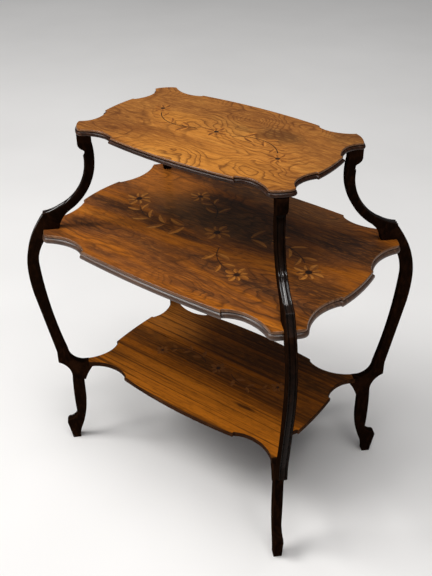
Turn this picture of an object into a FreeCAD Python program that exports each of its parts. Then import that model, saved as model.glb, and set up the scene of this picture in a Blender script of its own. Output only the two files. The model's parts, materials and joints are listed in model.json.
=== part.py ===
import FreeCAD, Part

# Three-tier tea table: serpentine tiers with inlaid veneer, on four sawn legs that stand on the diagonals.
# Millimetres, +Z up, X along the longer side. The origin is the middle of the footprint, on the floor.

import math
import os
from collections import namedtuple

import Sketcher
from FreeCAD import Placement, Rotation, Vector

os.makedirs("parts", exist_ok=True)
doc = FreeCAD.newDocument("tea_table")

# Driving dimensions in millimetres. A reach runs along a corner's diagonal, from the leg plane's foot line.
DIMENSIONS = {
    # The upright leg planes cross the long axis this far from the middle and turn 45 degrees off it
    "plane_offset": 109.0,
    "leg_thickness": 19.0,
    # Upper faces of the tiers, and their full thickness with the veneer
    "top_height": 840.0,
    "top_thickness": 14.0,
    "middle_height": 612.0,
    "middle_thickness": 20.5,
    "bottom_height": 240.0,
    "bottom_thickness": 13.0,
    "veneer_thickness": 1.2,
    # Top tier's outline, from a corner lobe out to the bows of the long and short sides
    "top_lobe_reach": 194.0,
    "top_lobe_half_width": 25.0,
    "top_lobe_crown": 4.5,
    "top_long_lobe_rise": 19.8,
    "top_long_lobe_run": 50.8,
    "top_long_hollow_rise": 8.5,
    "top_long_hollow_run": 29.0,
    "top_long_bow_rise": 10.0,
    "top_short_lobe_rise": 19.8,
    "top_short_lobe_run": 35.8,
    "top_short_hollow_rise": 13.0,
    "top_short_hollow_run": 40.0,
    "top_short_bow_rise": 2.8,
    # Middle tier's outline
    "middle_lobe_reach": 290.0,
    "middle_lobe_half_width": 34.0,
    "middle_lobe_crown": 2.0,
    "middle_long_lobe_rise": 20.0,
    "middle_long_lobe_run": 65.0,
    "middle_long_hollow_rise": 15.5,
    "middle_long_hollow_run": 46.0,
    "middle_long_bow_rise": 7.0,
    "middle_short_lobe_rise": 18.5,
    "middle_short_lobe_run": 61.0,
    "middle_short_hollow_rise": 17.0,
    "middle_short_hollow_run": 60.0,
    "middle_short_bow_rise": 5.0,
    # Bottom tier's outline, whose corners narrow to tongues as wide as the legs
    "tongue_reach": 262.0,
    "tongue_length": 27.0,
    "bottom_long_hollow_radius": 98.0,
    "bottom_long_hollow_rise": 12.0,
    "bottom_long_hollow_run": 41.0,
    "bottom_long_bow_rise": 9.5,
    "bottom_short_hollow_radius": 88.0,
    "bottom_short_hollow_rise": 8.5,
    "bottom_short_hollow_run": 30.0,
    "bottom_short_bow_rise": 2.5,
    # Sharp return where every bow ends
    "cusp_return": 4.0,
    # Edge mouldings: a rounded lip, a sunk quirk, a round bead and a set-back underside
    "top_lip_height": 2.2,
    "top_quirk_height": 1.6,
    "top_bead_height": 8.0,
    "middle_lip_height": 4.4,
    "middle_quirk_height": 2.0,
    "middle_bead_height": 12.0,
    "lip_bevel": 1.5,
    "quirk_depth": 1.6,
    "bead_projection": 3.0,
    "underside_set_back": 4.0,
    "bottom_underside_bevel": 3.0,
    # Notch in each middle lobe, where the leg is let in
    "seat_inset": 2.0,
    "notch_clearance": 0.2,
    # Leg's outline in its own plane, from the seat on the middle tier down to the floor
    "leg_head_run": 23.6,
    "knee_run": 50.0,
    "knee_drop": 100.0,
    "knee_upper_bulge": 6.7,
    "shin_run": 43.3,
    "shin_drop": 173.0,
    "shin_bulge": 1.7,
    # The lower leg's places are runs from the slot that holds the bottom tier's tongue
    "beak_run": 40.0,
    "beak_top_rise": 40.0,
    "beak_bottom_rise": 9.0,
    "beak_nose": 4.0,
    "throat_run": 12.0,
    "throat_drop": 44.0,
    "throat_bulge": 8.5,
    "ankle_run": 12.0,
    "ankle_height": 84.0,
    "ankle_bulge": 1.5,
    "toe_top_run": 17.0,
    "toe_top_height": 62.0,
    "toe_top_bulge": 4.5,
    "toe_overhang": 9.5,
    "toe_height": 51.0,
    "toe_bulge": 3.6,
    "sole_run": 11.0,
    "sole_length": 19.0,
    "heel_inset": 6.0,
    "heel_height": 33.0,
    "heel_bulge": 1.5,
    "calf_depth": 26.5,
    "calf_height": 140.0,
    "calf_bulge": 5.6,
    "bracket_drop": 38.5,
    "bracket_step_run": 5.5,
    "bracket_run": 40.0,
    "bracket_bulge": 1.8,
    "spur_run": 31.0,
    "spur_blunt": 1.0,
    "spur_bend_run": 43.5,
    "spur_bend_rise": 37.0,
    "spur_bend_bulge": 13.5,
    "inner_knee_run": 24.0,
    "inner_knee_drop": 92.0,
    "inner_shin_bulge": 4.7,
    "inner_knee_bulge": 6.1,
    # Upper support's outline in the same plane, from the middle tier up to the top tier
    "support_tab": 30.0,
    "support_beak_run": 2.0,
    "support_beak_bulge": 0.7,
    "support_hip_run": 55.0,
    "support_hip_bulge": 4.4,
    "corbel_overhang": 1.5,
    "corbel_depth": 29.0,
    "corbel_round_run": 9.0,
    "corbel_bulge": 3.2,
    "corbel_step_run": 3.5,
    # Dowels and screws
    "dowel_radius": 4.0,
    "slim_dowel_radius": 3.0,
    "dowel_clearance": 0.1,
    "glue_space": 1.0,
    "top_dowel_rise": 8.0,
    "top_dowel_drop": 16.0,
    "foot_dowel_inset": 9.0,
    "foot_dowel_rise": 14.0,
    "foot_dowel_drop": 24.0,
    "edge_dowel_half_length": 12.0,
    "screw_inset": 22.0,
    "screw_shank_radius": 2.0,
    "screw_head_radius": 4.0,
    "screw_head_height": 2.6,
    "screw_length": 42.0,
    # Inlaid sprays of leaves, stems and flowers
    "stem_width": 2.0,
    "inlay_gap": 0.8,
    "leaf_length": 36.0,
    "leaf_width": 13.0,
    "petal_length": 19.0,
    "petal_width": 11.0,
    "flower_eye_radius": 5.0,
}

sheet = doc.addObject("Spreadsheet::Sheet", "Sizes")
for row, (alias, value) in enumerate(DIMENSIONS.items(), start=1):
    sheet.set(f"A{row}", alias.replace("_", " "))
    sheet.set(f"B{row}", str(value))
    sheet.setAlias(f"B{row}", alias)
doc.recompute()


class Size:
    """A length together with the document expression that gives it."""

    def __init__(self, value, text):
        self.value = float(value)
        self.text = text

    def combine(self, other, sign, value):
        other_text = other.text if isinstance(other, Size) else repr(other)
        return Size(value, f"({self.text} {sign} {other_text})")

    def __add__(self, other):
        return self.combine(other, "+", self.value + other.value)

    def __sub__(self, other):
        return self.combine(other, "-", self.value - other.value)

    def __mul__(self, other):
        factor = other.value if isinstance(other, Size) else other
        return self.combine(other, "*", self.value * factor)

    def __truediv__(self, other):
        divisor = other.value if isinstance(other, Size) else other
        return self.combine(other, "/", self.value / divisor)


def size(alias):
    return Size(sheet.get(alias), f"Sizes.{alias}")


ZERO = Size(0, "0")
HALF_TURN = 180
QUARTER_TURN = 90
CORNER_TURN = 45
# An edge longer than this share of its circle goes right round a hole
WHOLE_CIRCLE_SHARE = 0.9
# The shoulders beside a notch stand off their chords by this share of the lobe's crown
SHOULDER_SHARE = 0.25
# Cosine of the corners' 45 degrees
SLANT = math.sqrt(0.5)

plane_offset = size("plane_offset")
leg_half = size("leg_thickness") / 2
veneer = size("veneer_thickness")
seat_reach = size("middle_lobe_reach") - size("seat_inset")
middle_underside = size("middle_height") - size("middle_thickness")
top_underside = size("top_height") - size("top_thickness")
bottom_core_height = size("bottom_height") - size("bottom_thickness") / 2
screw_reach = seat_reach - size("screw_inset")
corbel_reach = size("top_lobe_reach") + size("top_lobe_crown") + size("corbel_overhang")
head_dowel_reach = corbel_reach - size("corbel_depth") / 2
tongue_root_reach = size("tongue_reach") - size("tongue_length")
foot_dowel_reach = seat_reach + size("foot_dowel_inset")
dowel_hole_radius = size("dowel_radius") + size("dowel_clearance")
slim_hole_radius = size("slim_dowel_radius") + size("dowel_clearance")
screw_hole_radius = size("screw_shank_radius") + size("dowel_clearance")
edge_hole_depth = size("edge_dowel_half_length") + size("glue_space")


def corner_point(reach, across):
    """Plan point of the back right corner: along its diagonal, then across it towards the long side."""
    return (plane_offset + (reach - across) * SLANT, (reach + across) * SLANT)


# Outlines: a start point and the runs that follow it, anticlockwise. A run is a straight line, or an arc of
# a radius that bends left (anticlockwise) or right (clockwise).
def line(end):
    return (end, None, None)


def arc(end, radius, bend):
    return (end, radius, bend)


def squared_chord(start, end):
    across = end[0] - start[0]
    along = end[1] - start[1]
    return across * across + along * along


def bulge_radius(start, end, bulge):
    """Radius of the arc that stands off its chord by a bulge."""
    return (squared_chord(start, end) / 4 + bulge * bulge) / (bulge * 2)


def bulged(start, end, bulge, bend):
    return arc(end, bulge_radius(start, end, bulge), bend)


def swept(start, end, share, bend):
    """Arc that stands off its chord by a share of the chord."""
    squared = squared_chord(start, end)
    chord = Size(math.sqrt(squared.value), f"sqrt({squared.text})")
    return arc(end, chord * ((1 / 4 + share * share) / (share * 2)), bend)


def tangent_radius(rise, run):
    """Radius of the arc that leaves a level tangent and rises over a run."""
    return (rise * rise + run * run) / (rise * 2)


def add_arc(sketch, start, end, radius, bend):
    """Add the minor arc from start to end, and return it with the vertex numbers of its two ends."""
    begin = Vector(start[0].value, start[1].value, 0)
    finish = Vector(end[0].value, end[1].value, 0)
    chord = finish - begin
    half = chord.Length / 2
    height = math.sqrt(radius.value ** 2 - half ** 2)
    left = Vector(-chord.y, chord.x, 0).normalize()
    side = 1 if bend == "left" else -1
    centre = (begin + finish) / 2 + left * (height * side)
    first, last = (begin, finish) if bend == "left" else (finish, begin)
    from_angle = math.atan2(first.y - centre.y, first.x - centre.x)
    to_angle = math.atan2(last.y - centre.y, last.x - centre.x)
    if to_angle < from_angle:
        to_angle += math.tau
    circle = Part.Circle(centre, Vector(0, 0, 1), radius.value)
    index = sketch.addGeometry(Part.ArcOfCircle(circle, from_angle, to_angle))
    return (index, 1, 2) if bend == "left" else (index, 2, 1)


def pin_coordinate(sketch, kind, geometry, vertex, coordinate):
    """Hold one coordinate of a vertex at its named distance from the sketch's origin."""
    constraint = Sketcher.Constraint(kind, -1, 1, geometry, vertex, coordinate.value)
    index = sketch.addConstraint(constraint)
    if coordinate is not ZERO:
        sketch.setExpression(f"Constraints[{index}]", coordinate.text)


def draw_outline(sketch, start, runs):
    """Draw a closed outline whose corners and radii follow the named sizes."""
    placed = []
    here = start
    for end, radius, bend in runs:
        if radius is None:
            segment = Part.LineSegment(
                Vector(here[0].value, here[1].value, 0), Vector(end[0].value, end[1].value, 0)
            )
            placed.append((sketch.addGeometry(segment), 1, 2))
        else:
            placed.append(add_arc(sketch, here, end, radius, bend))
        here = end
    here = start
    for number, (end, radius, bend) in enumerate(runs):
        geometry, first, last = placed[number]
        follower, follower_first, follower_last = placed[(number + 1) % len(placed)]
        sketch.addConstraint(Sketcher.Constraint("Coincident", geometry, last, follower, follower_first))
        pin_coordinate(sketch, "DistanceX", geometry, first, here[0])
        pin_coordinate(sketch, "DistanceY", geometry, first, here[1])
        if radius is not None:
            index = sketch.addConstraint(Sketcher.Constraint("Radius", geometry, radius.value))
            sketch.setExpression(f"Constraints[{index}]", radius.text)
        here = end


def origin_plane(body, role):
    return next(feature for feature in body.Origin.OriginFeatures if feature.Role == role)


def new_sketch(body, name, plane_role, offset=ZERO):
    sketch = body.newObject("Sketcher::SketchObject", name)
    sketch.AttachmentSupport = (origin_plane(body, plane_role), [""])
    sketch.MapMode = "FlatFace"
    sketch.AttachmentOffset = Placement(Vector(0, 0, offset.value), Rotation())
    if offset is not ZERO:
        sketch.setExpression("AttachmentOffset.Base.z", offset.text)
    return sketch


def new_body(name, lift=ZERO):
    """Body whose own origin stands at a height above the floor."""
    body = doc.addObject("PartDesign::Body", name)
    body.Label = name
    body.Placement = Placement(Vector(0, 0, lift.value), Rotation())
    if lift is not ZERO:
        body.setExpression("Placement.Base.z", lift.text)
    return body


def add_pad(body, name, sketch, length):
    pad = body.newObject("PartDesign::Pad", name)
    pad.Profile = sketch
    pad.setExpression("Length", length.text)
    return pad


def place(feature, along_x, along_y, along_z, rotation=None):
    """Put a feature at named distances from its body's origin."""
    feature.Placement = Placement(
        Vector(along_x.value, along_y.value, along_z.value), rotation or Rotation()
    )
    feature.setExpression("Placement.Base.x", along_x.text)
    feature.setExpression("Placement.Base.y", along_y.text)
    feature.setExpression("Placement.Base.z", along_z.text)


def drill(body, name, radius, length, position, rotation=None):
    """Bore a round hole that starts at a position and runs along the rotated Z axis."""
    hole = body.newObject("PartDesign::SubtractiveCylinder", name)
    hole.setExpression("Radius", radius.text)
    hole.setExpression("Height", length.text)
    place(hole, *position, rotation)
    return hole


# Turns the Z axis to lie along the reach of an upright leg plane
ALONG_REACH = Rotation(Vector(0, 1, 0), QUARTER_TURN)
# Turns the Z axis to point outwards along the back right diagonal
OUTWARDS = Rotation(Vector(0, 0, 1), CORNER_TURN) * ALONG_REACH


# Tier outlines: one quarter, drawn from the short side's bow round the corner to the long side's bow
def lobed_corner(tier, grow, notched):
    """Corner lobe with its squared end, and the two hollows' lowest points."""
    reach = size(f"{tier}_lobe_reach") + grow
    half_width = size(f"{tier}_lobe_half_width") + grow
    crown = size(f"{tier}_lobe_crown")
    short_corner = corner_point(reach, ZERO - half_width)
    long_corner = corner_point(reach, half_width)
    if notched:
        slot_half = leg_half + size("notch_clearance")
        mouth = reach + crown
        mouth_short = corner_point(mouth, ZERO - slot_half)
        mouth_long = corner_point(mouth, slot_half)
        runs = [
            bulged(short_corner, mouth_short, crown * SHOULDER_SHARE, "left"),
            line(corner_point(seat_reach, ZERO - slot_half)),
            line(corner_point(seat_reach, slot_half)),
            line(mouth_long),
            bulged(mouth_long, long_corner, crown * SHOULDER_SHARE, "left"),
        ]
    else:
        runs = [bulged(short_corner, long_corner, crown, "left")]
    # The lobes' plain corners set the hollows, so the edge stays parallel however far it is grown
    plain_short = corner_point(size(f"{tier}_lobe_reach"), ZERO - size(f"{tier}_lobe_half_width"))
    plain_long = corner_point(size(f"{tier}_lobe_reach"), size(f"{tier}_lobe_half_width"))
    short_low = (
        plain_short[0] - size(f"{tier}_short_lobe_rise"),
        plain_short[1] - size(f"{tier}_short_lobe_run"),
    )
    long_low = (
        plain_long[0] - size(f"{tier}_long_lobe_run"),
        plain_long[1] - size(f"{tier}_long_lobe_rise"),
    )
    grown_short = (short_low[0] + grow, short_low[1])
    grown_long = (long_low[0], long_low[1] + grow)
    short_radius = tangent_radius(short_corner[0] - grown_short[0], short_corner[1] - grown_short[1])
    long_radius = tangent_radius(long_corner[1] - grown_long[1], long_corner[0] - grown_long[0])
    runs = [arc(short_corner, short_radius, "right")] + runs + [arc(grown_long, long_radius, "right")]
    return short_low, long_low, runs


def tongue_corner(grow):
    """Corner tongue of the bottom tier, and the two hollows' lowest points."""
    half_width = leg_half + grow
    short_hollow = size("bottom_short_hollow_radius")
    long_hollow = size("bottom_long_hollow_radius")
    root_short = corner_point(tongue_root_reach, ZERO - leg_half)
    root_long = corner_point(tongue_root_reach, leg_half)
    short_low = (root_short[0] - short_hollow * (1 - SLANT), root_short[1] - short_hollow * SLANT)
    long_low = (root_long[0] - long_hollow * SLANT, root_long[1] - long_hollow * (1 - SLANT))
    runs = [
        arc(corner_point(tongue_root_reach, ZERO - half_width), short_hollow - grow, "right"),
        line(corner_point(size("tongue_reach"), ZERO - half_width)),
        line(corner_point(size("tongue_reach"), half_width)),
        line(corner_point(tongue_root_reach, half_width)),
        arc((long_low[0], long_low[1] + grow), long_hollow - grow, "right"),
    ]
    return short_low, long_low, runs


def tier_outline(tier, grow=ZERO, notched=False):
    """Quarter outline of a tier, its edge moved outwards by grow."""
    if tier == "bottom":
        short_low, long_low, corner_runs = tongue_corner(grow)
    else:
        short_low, long_low, corner_runs = lobed_corner(tier, grow, notched)
    turn_back = size("cusp_return")
    short_rise = size(f"{tier}_short_hollow_rise")
    long_rise = size(f"{tier}_long_hollow_rise")
    short_cusp = (
        short_low[0] + short_rise + turn_back + grow,
        short_low[1] - size(f"{tier}_short_hollow_run") + grow,
    )
    short_inner = (short_cusp[0] - turn_back, short_cusp[1])
    long_cusp = (
        long_low[0] - size(f"{tier}_long_hollow_run") + grow,
        long_low[1] + long_rise + turn_back + grow,
    )
    long_inner = (long_cusp[0], long_cusp[1] - turn_back)
    short_bow_rise = size(f"{tier}_short_bow_rise")
    long_bow_rise = size(f"{tier}_long_bow_rise")
    short_bow = (short_cusp[0] + short_bow_rise, ZERO)
    long_bow = (ZERO, long_cusp[1] + long_bow_rise)
    short_low_edge = (short_low[0] + grow, short_low[1])
    long_low_edge = (long_low[0], long_low[1] + grow)
    runs = [
        line(short_bow),
        arc(short_cusp, tangent_radius(short_bow_rise, short_cusp[1]), "left"),
        line(short_inner),
        arc(short_low_edge, tangent_radius(short_rise, short_low[1] - short_cusp[1]), "right"),
    ]
    runs += corner_runs
    runs += [
        arc(long_inner, tangent_radius(long_rise, long_low_edge[0] - long_cusp[0]), "right"),
        line(long_cusp),
        arc(long_bow, tangent_radius(long_bow_rise, long_cusp[0]), "left"),
        line((ZERO, ZERO)),
    ]
    return (ZERO, ZERO), runs


def add_layer(body, tier, name, grow, base, height, notched=False):
    """One slice of a quarter of a tier."""
    sketch = new_sketch(body, f"{body.Name}_{name}_outline", "XY_Plane", base)
    draw_outline(sketch, *tier_outline(tier, grow, notched))
    return add_pad(body, f"{body.Name}_{name}", sketch, height)


def mirror_quarters(body, features):
    """Repeat the quarter's features about both upright middle planes."""
    doc.recompute()
    copies = body.newObject("PartDesign::MultiTransform", f"{body.Name}_quarters")
    copies.Originals = features
    steps = []
    for role in ("YZ_Plane", "XZ_Plane"):
        step = body.newObject("PartDesign::Mirrored", f"{body.Name}_{role}")
        step.MirrorPlane = (origin_plane(body, role), [""])
        steps.append(step)
    copies.Transformations = steps
    body.Tip = copies
    doc.recompute()
    return copies


def edges_where(shape, wanted):
    return [f"Edge{number}" for number, edge in enumerate(shape.Edges, start=1) if wanted(edge)]


def is_rim(edge, height, levels):
    """An edge of the outline that lies level at a height, and not on a hole."""
    box = edge.BoundBox
    level = box.ZLength < levels and abs(box.ZMin - height) < levels
    if not level or not isinstance(edge.Curve, Part.Circle):
        return level
    return edge.Length < math.tau * edge.Curve.Radius * WHOLE_CIRCLE_SHARE


def bevel_edges(body, name, edges, width):
    base = body.Tip
    bevel = body.newObject("PartDesign::Chamfer", name)
    bevel.Base = (base, edges)
    bevel.setExpression("Size", width.text)
    body.Tip = bevel
    doc.recompute()


LEVEL_TOLERANCE = 1e-4
# Bevels that turn the bead's square edge into an even half octagon
BEAD_BEVEL_SHARE = 0.3


def rim_edges(body, height):
    """Every edge of the outline at a height above the body's own origin."""
    level = body.Placement.Base.z + height.value
    return edges_where(body.Shape, lambda edge: is_rim(edge, level, LEVEL_TOLERANCE))


def bore_lobe(body, thickness):
    """Hole of one middle lobe, for the screw that climbs through it."""
    along_x, along_y = corner_point(screw_reach, ZERO)
    shank = drill(body, "screw_hole", screw_hole_radius, thickness, (along_x, along_y, ZERO))
    sink = body.newObject("PartDesign::SubtractiveCone", "screw_countersink")
    sink.setExpression("Radius1", (size("screw_head_radius") + size("dowel_clearance")).text)
    sink.setExpression("Radius2", screw_hole_radius.text)
    sink.setExpression("Height", size("screw_head_height").text)
    place(sink, along_x, along_y, ZERO)
    return [shank, sink]


def build_moulded_board(tier):
    """Board of the top or the middle tier, with its moulded edge."""
    notched = tier == "middle"
    thickness = size(f"{tier}_thickness")
    lip = size(f"{tier}_lip_height")
    quirk = size(f"{tier}_quirk_height")
    bead = size(f"{tier}_bead_height")
    lip_top = thickness - veneer
    lip_base = lip_top - lip
    quirk_base = lip_base - quirk
    bead_base = quirk_base - bead
    body = new_body(f"{tier}_tier_board", size(f"{tier}_height") - thickness)
    bead_layer = add_layer(body, tier, "bead", size("bead_projection"), bead_base, bead, notched)
    mirror_quarters(body, [bead_layer])
    rims = rim_edges(body, bead_base) + rim_edges(body, quirk_base)
    bevel_edges(body, "bead_bevel", rims, bead * BEAD_BEVEL_SHARE)
    features = [
        add_layer(body, tier, "underside", ZERO - size("underside_set_back"), ZERO, bead_base),
        add_layer(body, tier, "quirk", ZERO - size("quirk_depth"), quirk_base, quirk, notched),
        add_layer(body, tier, "lip", ZERO, lip_base, lip, notched),
    ]
    if tier == "middle":
        features += bore_lobe(body, lip_top)
    else:
        position = (*corner_point(head_dowel_reach, ZERO), ZERO)
        depth = size("top_dowel_rise") + size("glue_space")
        features.append(drill(body, "dowel_hole", dowel_hole_radius, depth, position))
    mirror_quarters(body, features)
    bevel_edges(body, "lip_bevel", rim_edges(body, lip_top), size("lip_bevel"))
    return body


def build_bottom_board():
    """Board of the bottom tier, with its plain rounded edge."""
    thickness = size("bottom_thickness")
    slab_top = thickness - veneer
    body = new_body("bottom_tier_board", size("bottom_height") - thickness)
    slab = add_layer(body, "bottom", "slab", ZERO, ZERO, slab_top)
    position = (*corner_point(size("tongue_reach") - edge_hole_depth, ZERO), thickness / 2)
    hole = drill(body, "edge_dowel_hole", slim_hole_radius, edge_hole_depth, position, OUTWARDS)
    mirror_quarters(body, [slab, hole])
    bevel_edges(body, "lip_bevel", rim_edges(body, slab_top), size("lip_bevel"))
    bevel_edges(body, "underside_bevel", rim_edges(body, ZERO), size("bottom_underside_bevel"))
    return body


def shift(point, along_reach, upwards):
    return (point[0] + along_reach, point[1] + upwards)


def leg_outline():
    """Leg from its head at the middle tier, down its outer side, and back up its inner side."""
    head_inner = (seat_reach, size("middle_height"))
    head_outer = shift(head_inner, size("leg_head_run"), ZERO)
    knee = (seat_reach + size("knee_run"), size("middle_height") - size("knee_drop"))
    shin = (seat_reach + size("shin_run"), size("middle_height") - size("shin_drop"))
    slot_end = size("tongue_reach")
    slot_top = size("bottom_height")
    slot_floor = slot_top - size("bottom_thickness")
    beak_reach = slot_end + size("beak_run")
    beak_top = (beak_reach, slot_top + size("beak_top_rise"))
    beak_bottom = (beak_reach, slot_top + size("beak_bottom_rise"))
    beak_under = shift(beak_bottom, ZERO - size("beak_nose"), ZERO - size("beak_nose"))
    throat = (slot_end + size("throat_run"), slot_top - size("throat_drop"))
    ankle = (slot_end + size("ankle_run"), size("ankle_height"))
    toe_top = (ankle[0] + size("toe_top_run"), size("toe_top_height"))
    sole_inner = (slot_end + size("sole_run"), ZERO)
    sole_outer = (sole_inner[0] + size("sole_length"), ZERO)
    toe = (sole_outer[0] + size("toe_overhang"), size("toe_height"))
    heel = (sole_inner[0] - size("heel_inset"), size("heel_height"))
    calf = (ankle[0] - size("calf_depth"), size("calf_height"))
    step_low = (calf[0], slot_floor - size("bracket_drop"))
    step_high = shift(step_low, ZERO - size("bracket_step_run"), ZERO)
    bracket = (slot_end - size("bracket_run"), slot_floor)
    slot_low = (slot_end, slot_floor)
    slot_high = (slot_end, slot_top)
    spur = (slot_end - size("spur_run"), slot_top)
    spur_tip = shift(spur, ZERO, size("spur_blunt"))
    bend_end = shift(spur_tip, size("spur_bend_run"), size("spur_bend_rise"))
    inner_knee = (seat_reach + size("inner_knee_run"), size("middle_height") - size("inner_knee_drop"))
    seat_under = (seat_reach, middle_underside)
    runs = [
        line(seat_under),
        bulged(seat_under, inner_knee, size("inner_knee_bulge"), "right"),
        bulged(inner_knee, bend_end, size("inner_shin_bulge"), "right"),
        bulged(bend_end, spur_tip, size("spur_bend_bulge"), "right"),
        line(spur),
        line(slot_high),
        line(slot_low),
        line(bracket),
        bulged(bracket, step_high, size("bracket_bulge"), "right"),
        line(step_low),
        line(calf),
        bulged(calf, heel, size("calf_bulge"), "left"),
        bulged(heel, sole_inner, size("heel_bulge"), "right"),
        line(sole_outer),
        line(toe),
        bulged(toe, toe_top, size("toe_bulge"), "left"),
        bulged(toe_top, ankle, size("toe_top_bulge"), "right"),
        bulged(ankle, throat, size("ankle_bulge"), "left"),
        bulged(throat, beak_under, size("throat_bulge"), "right"),
        line(beak_bottom),
        line(beak_top),
        line(shin),
        bulged(shin, knee, size("shin_bulge"), "left"),
        bulged(knee, head_outer, size("knee_upper_bulge"), "left"),
        line(head_inner),
    ]
    return head_inner, runs


# Heights on the upper support, as shares of the way from its foot up to its head
BEAK_LOW_SHARE = 0.154
BEAK_HIGH_SHARE = 0.173
HIP_SHARE = 0.201
WAIST_TOP_SHARE = 0.818
CORBEL_LOW_SHARE = 0.829
INNER_START_SHARE = 0.879
CORBEL_FACE_SHARE = 0.907
# Waypoints of its two long sweeps, as shares of the way inwards and of the way up or down, and how far each
# third of a sweep stands off its chord, as a share of that chord
OUTER_SWEEP_SHARES = ((0.578, 0.173), (0.948, 0.543))
OUTER_BULGE_SHARE = 0.0692
INNER_SWEEP_SHARES = ((0.021, 0.381), (0.371, 0.730))
INNER_BULGE_SHARE = 0.0477


def sweep_runs(start, end, waypoint_shares, bulge_share, bend):
    """Long sweep in arcs, which keeps its form however its ends move."""
    runs = []
    here = start
    for across_share, upright_share in (*waypoint_shares, (1, 1)):
        across = start[0] + (end[0] - start[0]) * across_share
        upright = start[1] + (end[1] - start[1]) * upright_share
        runs.append(swept(here, (across, upright), bulge_share, bend))
        here = (across, upright)
    return runs


def support_outline():
    """Upper support from its foot on the middle tier up to the corbel under the top tier."""
    foot_height = size("middle_height")
    rise = top_underside - foot_height
    foot_inner = (seat_reach - size("support_tab"), foot_height)
    foot_outer = (seat_reach + size("leg_head_run"), foot_height)
    beak_low = (seat_reach + size("support_beak_run"), foot_height + rise * BEAK_LOW_SHARE)
    beak_high = (seat_reach + size("support_beak_run") / 2, foot_height + rise * BEAK_HIGH_SHARE)
    corbel_top = (corbel_reach, top_underside)
    corbel_face = (corbel_reach, foot_height + rise * CORBEL_FACE_SHARE)
    corbel_low = (corbel_reach - size("corbel_round_run"), foot_height + rise * CORBEL_LOW_SHARE)
    waist_top = (corbel_low[0] - size("corbel_step_run"), foot_height + rise * WAIST_TOP_SHARE)
    corbel_inner = (corbel_reach - size("corbel_depth"), top_underside)
    inner_start = (corbel_inner[0], foot_height + rise * INNER_START_SHARE)
    hip = (seat_reach - size("support_hip_run"), foot_height + rise * HIP_SHARE)
    runs = [
        line(foot_outer),
        bulged(foot_outer, beak_low, size("support_beak_bulge"), "left"),
        line(beak_high),
        *sweep_runs(beak_high, waist_top, OUTER_SWEEP_SHARES, OUTER_BULGE_SHARE, "right"),
        line(corbel_low),
        bulged(corbel_low, corbel_face, size("corbel_bulge"), "left"),
        line(corbel_top),
        line(corbel_inner),
        line(inner_start),
        *sweep_runs(inner_start, hip, INNER_SWEEP_SHARES, INNER_BULGE_SHARE, "left"),
        bulged(hip, foot_inner, size("support_hip_bulge"), "right"),
    ]
    return foot_inner, runs


# Corners by name: the side of the long axis that the leg plane's foot line is on, and the plane's turn
CORNERS = {
    "back_right": (1, 45),
    "back_left": (-1, 135),
    "front_left": (-1, 225),
    "front_right": (1, 315),
}


def new_sawn_piece(name, corner, outline):
    """A piece sawn to an outline in its corner's upright plane, as thick as the legs."""
    side, turn = CORNERS[corner]
    body = doc.addObject("PartDesign::Body", f"{name}_{corner}")
    body.Label = f"{name}_{corner}"
    body.Placement = Placement(
        Vector(side * plane_offset.value, 0, 0), Rotation(Vector(0, 0, 1), turn)
    )
    body.setExpression("Placement.Base.x", (plane_offset * side).text)
    sketch = new_sketch(body, f"{body.Name}_outline", "XZ_Plane")
    draw_outline(sketch, *outline)
    blank = add_pad(body, f"{body.Name}_blank", sketch, size("leg_thickness"))
    blank.Midplane = True
    return body


def build_leg(corner):
    body = new_sawn_piece("leg", corner, leg_outline())
    tongue_end = (size("tongue_reach"), ZERO, bottom_core_height)
    drill(body, "tongue_dowel_hole", slim_hole_radius, edge_hole_depth, tongue_end, ALONG_REACH)
    head_depth = size("foot_dowel_drop") + size("glue_space")
    head_base = (foot_dowel_reach, ZERO, size("middle_height") - head_depth)
    drill(body, "head_dowel_hole", slim_hole_radius, head_depth, head_base)
    return body


def build_support(corner):
    body = new_sawn_piece("support", corner, support_outline())
    foot_height = size("middle_height")
    foot_depth = size("foot_dowel_rise") + size("glue_space")
    drill(body, "foot_dowel_hole", slim_hole_radius, foot_depth, (foot_dowel_reach, ZERO, foot_height))
    pilot_depth = size("screw_length") - size("middle_thickness") + size("glue_space")
    drill(body, "screw_pilot_hole", screw_hole_radius, pilot_depth, (screw_reach, ZERO, foot_height))
    head_depth = size("top_dowel_drop") + size("glue_space")
    head_base = (head_dowel_reach, ZERO, top_underside - head_depth)
    drill(body, "head_dowel_hole", dowel_hole_radius, head_depth, head_base)
    return body


def place_at_corner(feature, corner, reach, height, rotation=None):
    """Put a feature on a corner's diagonal, at a reach and a height."""
    side, turn = CORNERS[corner]
    depth_side = 1 if turn < HALF_TURN else -1
    along_x, along_y = corner_point(reach, ZERO)
    place(feature, along_x * side, along_y * depth_side, height, rotation)


def new_cylinder(name, radius, length):
    cylinder = doc.addObject("Part::Cylinder", name)
    cylinder.setExpression("Radius", radius.text)
    cylinder.setExpression("Height", length.text)
    return cylinder


def group_pieces(name, pieces):
    """One node that holds alike pieces as separate solids."""
    group = doc.addObject("Part::Compound", name)
    group.Label = name
    group.Links = pieces
    return group


def build_upright_dowels(name, radius, reach, base, length):
    pieces = []
    for corner in CORNERS:
        dowel = new_cylinder(f"{name}_{corner}", radius, length)
        place_at_corner(dowel, corner, reach, base)
        pieces.append(dowel)
    return group_pieces(name, pieces)


def build_level_dowels(name, middle_reach, height):
    """Slim dowels that lie along the diagonals, half in the tier and half in the leg."""
    half_length = size("edge_dowel_half_length")
    pieces = []
    for corner, (side, turn) in CORNERS.items():
        dowel = new_cylinder(f"{name}_{corner}", size("slim_dowel_radius"), half_length * 2)
        outwards = Rotation(Vector(0, 0, 1), turn) * ALONG_REACH
        place_at_corner(dowel, corner, middle_reach - half_length, height, outwards)
        pieces.append(dowel)
    return group_pieces(name, pieces)


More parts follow.
